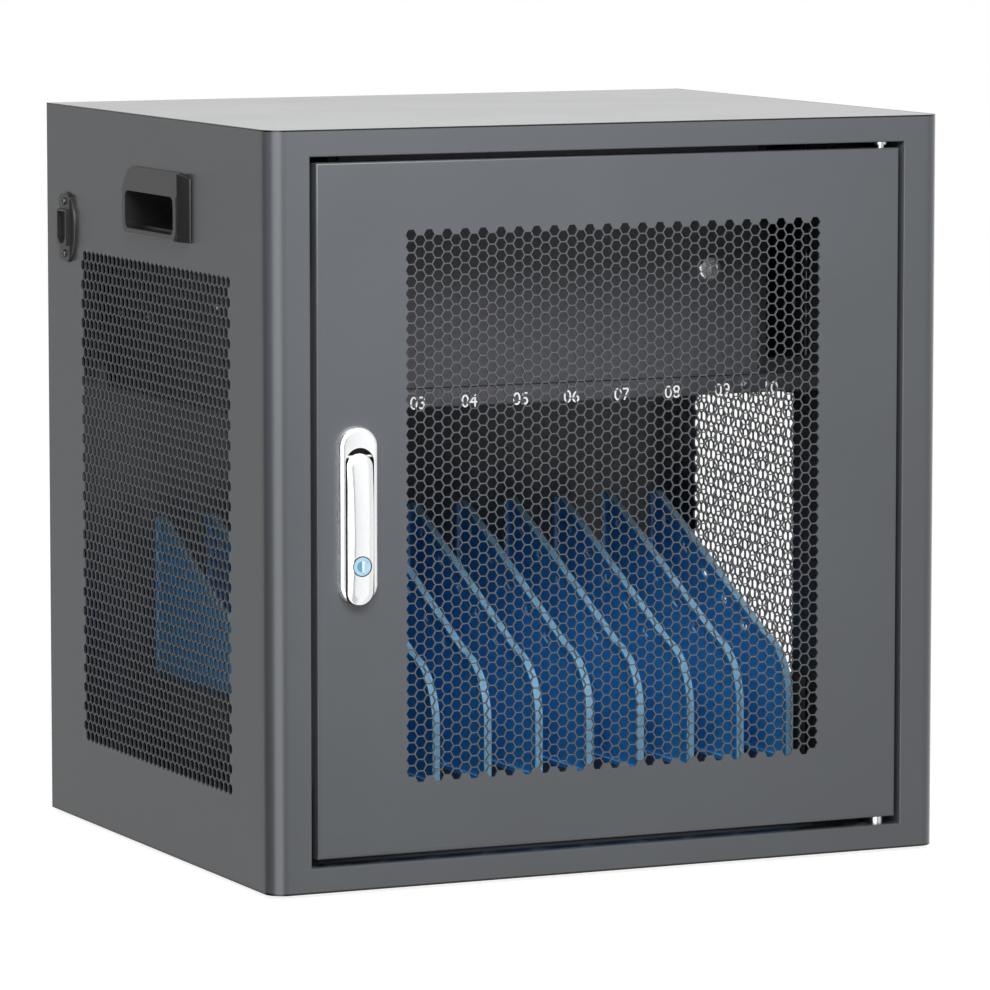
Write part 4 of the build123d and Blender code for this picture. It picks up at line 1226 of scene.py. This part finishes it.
    def barrel_gap(self) -> None:
        """Models a thin ring of painted shade between the key barrel and the lever."""
        radius = self.barrel_radius() + self.ring_overlap
        piece = Workpiece.disc("barrel_gap", radius, self.end_sides)
        bpy.ops.mesh.select_all(action="SELECT")
        bpy.ops.mesh.inset(thickness=self.ring_width)
        bpy.ops.mesh.delete(type="FACE")
        piece.solid(self.ring_height)
        piece.outward()
        piece.place(self.on_front("lock_barrel"))
        # Painted shade of the gap round the barrel.
        ride(piece.finish(self.palette.hollow_shade), "lever", "satin_chrome")

    def build(self) -> None:
        """Models the visible parts of the lock."""
        self.plate()
        self.lever()
        self.keyway()
        self.barrel_gap()


@dataclass
class Fasteners:
    """Small screws, rivets and a stud from shared patterns, and two bare edges."""

    palette: Palette
    sides: int = 20
    head: float = 5.6 * MM
    height: float = 1.6 * MM
    head_rounding: float = 0.8 * MM
    cross: Point = (3.2 * MM, 0.8 * MM)
    cross_depth: float = 0.9 * MM
    rivet: float = 4.0 * MM
    rivet_height: float = 0.6 * MM
    rivet_rounding: float = 0.4 * MM
    flush: float = 0.04 * MM
    inlet_spacing: float = 40.0 * MM
    inlet_flange: float = 3.0 * MM
    back_inset: float = 10.0 * MM
    stud: Point = (160.6 * MM, 347.5 * MM)
    plate_screws: tuple[Point, ...] = ((186.5, 392.3), (125.8, 393.1), (-11.4, 411.0))
    top_rivets: tuple[Point, ...] = ((258.0, 294.0), (476.0, 225.0), (491.0, 381.0))
    door_edge: tuple[Triple, Triple] = ((174.2, -206.7, 154.0), (175.0, -206.0, 462.0))
    bay_edge: tuple[Triple, Triple] = ((203.6, -110.2, 405.0), (204.4, -109.6, 451.0))

    def screw(self) -> bpy.types.Object:
        """Models a pan head with a cross recess.

        Returns:
            The screw, face up at the origin.
        """
        piece = Workpiece.disc("screw_pattern", self.head / 2, self.sides)
        piece.pad(self.height, self.head_rounding, 4)
        top = Vector((0.0, 0.0, self.height))
        long, wide = self.cross
        for x, y in ((long, wide), (wide, long)):
            reach = Vector((x / 2, y / 2, self.cross_depth))
            piece.carve(Workpiece.block("cross", top - reach, top + reach))
        return piece.finish(self.palette.steel)

    def rivet_head(self) -> bpy.types.Object:
        """Models a low round rivet head.

        Returns:
            The rivet head, face up at the origin.
        """
        piece = Workpiece.disc("rivet_pattern", self.rivet / 2, self.sides)
        piece.pad(self.rivet_height, self.rivet_rounding, 3)
        return piece.finish(self.palette.case)

    def edge_glint(self, name: str, body: str, span: tuple[Triple, Triple]) -> None:
        """Sets the bare bright edge of a cut sheet.

        Args:
            name: The piece's name.
            body: The body that carries it.
            span: Its lowest and highest corners in millimetres.
        """
        low, high = (Vector(corner) * MM for corner in span)
        piece = Workpiece.block(name, low, high)
        ride(piece.finish(self.palette.steel), body, "plain_steel")

    def fix(
        self,
        pattern: bpy.types.Object,
        name: str,
        view: View,
        place: Sequence[float],
        slot: str = "plain_steel",
    ) -> None:
        """Sets a copy of a fastener on a face of the cabinet.

        Args:
            pattern: The fastener, face up at the origin.
            name: The copy's name.
            view: The side that the face looks out of.
            place: Where its underside sits.
            slot: The material slot of the record.
        """
        twin = copy_of(pattern, name, Matrix.Translation(place) @ stand(view, 0.0))
        ride(twin, "cabinet", slot)

    def back_spots(self) -> Iterable[Triple]:
        """Gives the places of the six screws of the back panel.

        Yields:
            Where the underside of one of them sits.
        """
        low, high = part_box("back_panel")
        depth = high.y + self.flush - self.height
        for x in (low.x + self.back_inset, 0.0, high.x - self.back_inset):
            for z in (low.z + self.back_inset, high.z - self.back_inset):
                yield x, depth, z

    def build(self) -> None:
        """Sets every fastener and both bare edges."""
        screw = self.screw()
        rivet = self.rivet_head()
        dark = copy_of(screw, "dark_pattern", Matrix.Identity(4))
        dark.data.materials[0] = self.palette.dark_steel
        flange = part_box("left_side_upper")[0].x - self.inlet_flange
        inlet = middle_of("power_inlet")
        for name, up in (("upper", 1), ("lower", -1)):
            spot = (flange, inlet.y, inlet.z + up * self.inlet_spacing / 2)
            self.fix(dark, f"inlet_screw_{name}", View.LEFT, spot)
        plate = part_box("left_bay_side")[0].x
        for number, (y, z) in enumerate(self.plate_screws, 1):
            self.fix(screw, f"plate_screw_{number}", View.LEFT, (plate, y * MM, z * MM))
        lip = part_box("bay_cover")[0].y
        self.fix(screw, "cover_stud", View.FRONT, (self.stud[0], lip, self.stud[1]))
        self.edge_glint("door_edge_glint", "door", self.door_edge)
        self.edge_glint("bay_edge_glint", "cabinet", self.bay_edge)
        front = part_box("front_frame")[0]
        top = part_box("top_panel")[1].z + self.flush - self.rivet_height
        for number, (x, y) in enumerate(self.top_rivets, 1):
            spot = (front.x + x * MM, front.y + y * MM, top)
            self.fix(rivet, f"top_rivet_{number}", View.TOP, spot, "case_grey")
        for number, spot in enumerate(self.back_spots(), 1):
            self.fix(screw, f"back_screw_{number}", View.BACK, spot)
        for pattern in (screw, rivet, dark):
            bpy.data.objects.remove(pattern)


@dataclass
class SideMouldings:
    """The parts of the handles and of the inlet that stand off the sheets."""

    palette: Palette
    rounding: float = 0.8 * MM
    ramp: float = 13.0 * MM
    ramp_overlap: float = 0.2 * MM
    ramp_slope: float = 0.8
    ramp_drop: float = 3.5 * MM
    plate: Point = (19.0 * MM, 27.0 * MM)
    plate_thickness: float = 2.2 * MM

    def handle_ramp(self, side: Side) -> None:
        """Models the sloping front end of a handle's rim.

        Args:
            side: The flank that the handle is on.
        """
        low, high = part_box(f"{side.name.lower()}_handle_cup")
        face = low.x if side is Side.LEFT else high.x
        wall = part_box("left_side_upper")[0].x * (1 if side is Side.LEFT else -1)
        x0, x1 = sorted((face, wall))
        tip = low.y - self.ramp
        piece = Workpiece.block(
            f"{side.name.lower()}_handle_ramp",
            Vector((x0, tip, low.z)),
            Vector((x1, low.y + self.ramp_overlap, high.z)),
        )
        piece.pick_verts(lambda place: abs(place.x - face) < HAIR and place.y < tip + HAIR)
        piece.move(((wall - face) * self.ramp_slope, 0.0, 0.0))
        piece.pick_verts(lambda place: place.z > high.z - HAIR and place.y < tip + HAIR)
        piece.move((0.0, 0.0, -self.ramp_drop))
        piece.pick_edges(lambda place: True)
        piece.bevel(self.rounding, 3)
        piece.outward()
        ride(piece.finish(self.palette.moulding), "cabinet", "black_moulding")

    def inlet_plate(self) -> None:
        """Models the oval plate that the mains inlet is screwed to."""
        middle = middle_of("power_inlet")
        piece = Workpiece.disc("inlet_plate", 1.0, 48)
        bpy.ops.transform.resize(value=(self.plate[1], self.plate[0], 1.0))
        piece.pad(self.plate_thickness, self.rounding, 3)
        spot = Matrix.Translation((0.0, middle.y, middle.z))
        piece.place(spot @ stand(View.LEFT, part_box("left_side_upper")[0].x))
        ride(piece.finish(self.palette.moulding), "cabinet", "black_moulding")

    def build(self) -> None:
        """Models every moulding."""
        for side in Side:
            self.handle_ramp(side)
        self.inlet_plate()


@dataclass
class InnerSheets:
    """Plain sheets inside, at the heights that the photograph shows."""

    palette: Palette
    rounding: float = 0.3 * MM
    lip: Point = (340.0 * MM, 353.6 * MM)
    rack_side_rise: float = 14.5 * MM
    return_depth: float = 21.0 * MM
    return_foot: float = 53.0 * MM

    def sheet(
        self, name: str, low: Triple, high: Triple, coat: bpy.types.Material, *stands_for: str
    ) -> None:
        """Models one plain sheet.

        Args:
            name: The piece's name.
            low: Its lowest corner.
            high: Its highest corner.
            coat: Its finish.
            *stands_for: The frame's nodes that it takes the place of.
        """
        piece = Workpiece.block(name, Vector(low), Vector(high))
        piece.pick_edges(lambda place: True)
        piece.bevel(self.rounding, 2)
        piece.outward()
        ride(piece.finish(coat), "cabinet", "inner_black", *stands_for)

    def build(self) -> None:
        """Models every inner sheet."""
        inner = self.palette.inner
        low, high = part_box("cable_rail")
        foot, head = self.lip
        behind = low.y + SHEET
        self.sheet(
            "rail_lip", (low.x, low.y, foot), (high.x, behind, head), self.palette.cover, "cable_rail"
        )
        self.sheet("rail_flange", (low.x, behind, high.z - SHEET), high.to_tuple(), inner)
        for side in Side:
            word = side.name.lower()
            low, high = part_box(f"{word}_rack_side")
            head = (high.x, high.y, high.z + self.rack_side_rise)
            self.sheet(f"{word}_rack_wall", low.to_tuple(), head, inner, f"{word}_rack_side")
            low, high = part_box(f"{word}_bay_side")
            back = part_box(f"{word}_upright")[1].y
            foot = (low.x, back, self.return_foot)
            head = (high.x, back + self.return_depth, low.z)
            self.sheet(f"{word}_upright_return", foot, head, inner)


@dataclass
class SlotNumbers:
    """The printed numbers 01 to 10 on the front rail of the adapter bay."""

    palette: Palette
    count: int = 10
    pitch: float = 41.9 * MM
    first: float = -192.8 * MM
    height: float = 9.4 * MM
    middle: float = 343.4 * MM
    proud: float = 0.12 * MM

    def number(self, number: int) -> None:
        """Prints one number.

        Args:
            number: The slot's number, from one.
        """
        clear_bench()
        bpy.ops.object.text_add()
        text = bpy.context.object
        text.data.body = f"{number:02d}"
        text.data.align_x = "CENTER"
        text.data.align_y = "CENTER"
        bpy.ops.object.convert(target="MESH")
        piece = Workpiece(f"slot_number_{number:02d}")
        piece.solid(self.proud)
        piece.outward()
        piece.leave()
        size = self.height / piece.obj.dimensions.y
        corners = [Vector(corner) for corner in piece.obj.bound_box]
        middle = sum(corners, Vector()) / len(corners)
        spot = Vector((self.first + (number - 1) * self.pitch, 0.0, self.middle))
        piece.place(
            Matrix.Translation(spot)
            @ stand(View.FRONT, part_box("cable_rail")[0].y)
            @ Matrix.Diagonal((size, size, 1.0, 1.0))
            @ Matrix.Translation((-middle.x, -middle.y, 0.0))
        )
        # The numbers carry the print's painted glow.
        ride(piece.finish(self.palette.print), "cabinet", "outlet_face")

    def build(self) -> None:
        """Prints every number."""
        for number in range(1, self.count + 1):
            self.number(number)


@dataclass
class Studio:
    """Camera, lamp, floor and white surroundings."""

    camera_place: Triple = (-1.9835, -4.3188, 0.7943)
    azimuth: float = 24.722
    elevation: float = 6.430
    focal_pixels: float = 6275.7
    sensor: float = 36.0
    farthest: float = 50.0
    lamp_place: Triple = (-0.3, -0.95, 1.02)
    lamp_target: Triple = (-0.05, -0.2, 0.3)
    lamp_size: Point = (1.0, 0.6)
    lamp_power: float = 15.0
    surround: float = 0.16
    floor_size: float = 90.0
    floor_grey: float = 0.8
    floor_glow: float = 0.87
    peak: float = 5.0
    walls: tuple[Point, ...] = (
        (-180.0, 1.15),
        (-110.0, 1.35),
        (-60.0, 0.8),
        (-25.0, 1.2),
        (-10.0, 0.5),
        (10.0, 0.3),
        (24.0, 3.2),
        (60.0, 3.0),
        (78.0, 0.05),
        (132.0, 0.05),
        (152.0, 0.55),
        (178.0, 1.1),
    )

    def camera(self) -> None:
        """Sets the camera at the photograph's place and angle."""
        data = bpy.data.cameras.new("camera")
        data.sensor_width = self.sensor
        data.lens = self.focal_pixels * self.sensor / PHOTO_PIXELS
        data.clip_end = self.farthest
        camera = bpy.data.objects.new("camera", data)
        bpy.context.scene.collection.objects.link(camera)
        camera.location = self.camera_place
        tilt, turn = math.radians(90.0 - self.elevation), -math.radians(self.azimuth)
        camera.rotation_euler = (tilt, 0.0, turn)
        bpy.context.scene.camera = camera

    def lamp(self) -> None:
        """Hangs the soft box in front of the cabinet."""
        data = bpy.data.lights.new("front_box", "AREA")
        data.shape = "RECTANGLE"
        data.size, data.size_y = self.lamp_size
        data.energy = self.lamp_power
        lamp = bpy.data.objects.new("front_box", data)
        bpy.context.scene.collection.objects.link(lamp)
        lamp.location = self.lamp_place
        beam = Vector(self.lamp_target) - Vector(self.lamp_place)
        lamp.rotation_euler = beam.to_track_quat("-Z", "Y").to_euler()
        lamp.visible_camera = False

    def wall_colour(self, value: float) -> tuple[float, float, float, float]:
        """Gives a wall's brightness as a share of the peak."""
        return (value / self.peak,) * 3 + (1.0,)

    def wall_gradient(self, wires: Sockets) -> bpy.types.NodeSocket:
        """Shades the walls by their direction, from the back round by the front.

        Args:
            wires: The world's wiring helper.

        Returns:
            The walls' colour.
        """
        place = wires.add("ShaderNodeTexCoord")
        parts = wires.add("ShaderNodeSeparateXYZ", {0: place.outputs["Generated"]})
        left = wires.reckon("MULTIPLY", parts.outputs["X"], -1.0)
        ahead = wires.reckon("MULTIPLY", parts.outputs["Y"], -1.0)
        turn = wires.reckon("ARCTAN2", left, ahead)
        share = wires.reckon("ADD", wires.reckon("DIVIDE", turn, 2.0 * math.pi), 0.5)
        ramp = wires.add("ShaderNodeValToRGB", {"Fac": share})
        stops = ramp.color_ramp.elements
        while len(stops) > 1:
            stops.remove(stops[-1])
        stops[0].position = 0.0
        stops[0].color = self.wall_colour(self.walls[0][1])
        for degrees, value in self.walls[1:]:
            stop = stops.new(0.5 + degrees / 360.0)
            stop.color = self.wall_colour(value)
        return ramp.outputs["Color"]

    def surroundings(self) -> None:
        """Makes the world white to the eye and a lit studio to the object."""
        world = bpy.data.worlds.new("surroundings")
        bpy.context.scene.world = world
        world.use_nodes = True
        world.node_tree.nodes.clear()
        wires = Sockets(world.node_tree)
        gradient = self.wall_gradient(wires)
        path = wires.add("ShaderNodeLightPath").outputs
        soft, walls, white = (
            wires.add("ShaderNodeBackground", {"Color": colour, "Strength": strength}).outputs[0]
            for colour, strength in ((WHITE, self.surround), (gradient, self.peak), (WHITE, 1.0))
        )
        unseen = wires.blend(path["Is Glossy Ray"], soft, walls)
        seen = wires.reckon("MAXIMUM", path["Is Camera Ray"], path["Is Transmission Ray"])
        surface = wires.blend(seen, unseen, white)
        wires.add("ShaderNodeOutputWorld", {"Surface": surface})

    def floor(self) -> None:
        """Lays the pale floor, which shows white but keeps the shadow."""
        clear_bench()
        bpy.ops.mesh.primitive_plane_add(size=self.floor_size)
        floor = bpy.context.object
        floor.name = "floor"
        made = bpy.data.materials.new("pale_floor")
        made.use_nodes = True
        made.node_tree.nodes.clear()
        wires = Sockets(made.node_tree)
        soft = wires.add("ShaderNodeBsdfDiffuse", {"Color": (self.floor_grey,) * 3 + (1.0,)})
        path = wires.add("ShaderNodeLightPath").outputs
        strength = wires.reckon("MULTIPLY", path["Is Camera Ray"], self.floor_glow)
        glow = wires.add("ShaderNodeEmission", {"Strength": strength})
        both = wires.add("ShaderNodeAddShader", {0: soft.outputs[0], 1: glow.outputs[0]})
        clear = wires.add("ShaderNodeBsdfTransparent")
        surface = wires.blend(path["Is Glossy Ray"], both.outputs[0], clear.outputs[0])
        wires.add("ShaderNodeOutputMaterial", {"Surface": surface})
        floor.data.materials.append(made)

    def build(self) -> None:
        """Sets up the whole studio."""
        bpy.context.scene.view_settings.view_transform = "Standard"
        self.camera()
        self.surroundings()
        self.floor()
        self.lamp()


def dress_frame(frame: dict, palette: Palette) -> None:
    """Gives every node of the frame the finish of its slot.

    Args:
        palette: The finishes.
    """
    finishes = palette.by_slot()
    slots = {part["node"]: part["material_slot"] for part in frame["record"]["subparts"]}
    special = {
        "bay_cover": palette.cover,
        "cable_rail": palette.cover,
        "lock_barrel": palette.tinted,
    }
    for name, node in frame["nodes"].items():
        material = special.get(name, finishes[slots[name]])
        for slot in node.material_slots:
            slot.material = material


def main() -> None:
    """Loads the frame and builds every sub-assembly in order."""
    logging.basicConfig(level=logging.INFO, format="%(name)s: %(message)s")
    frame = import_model()
    clear_bench()
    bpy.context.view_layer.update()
    palette = Palette(Groups())
    dress_frame(frame, palette)
    Case(palette).build()
    Door(palette).build()
    SwingLock(palette).build()
    SideMouldings(palette).build()
    InnerSheets(palette).build()
    Fasteners(palette).build()
    SlotNumbers(palette).build()
    Studio().build()
    bpy.context.view_layer.update()


if __name__ == "__main__":
    main()
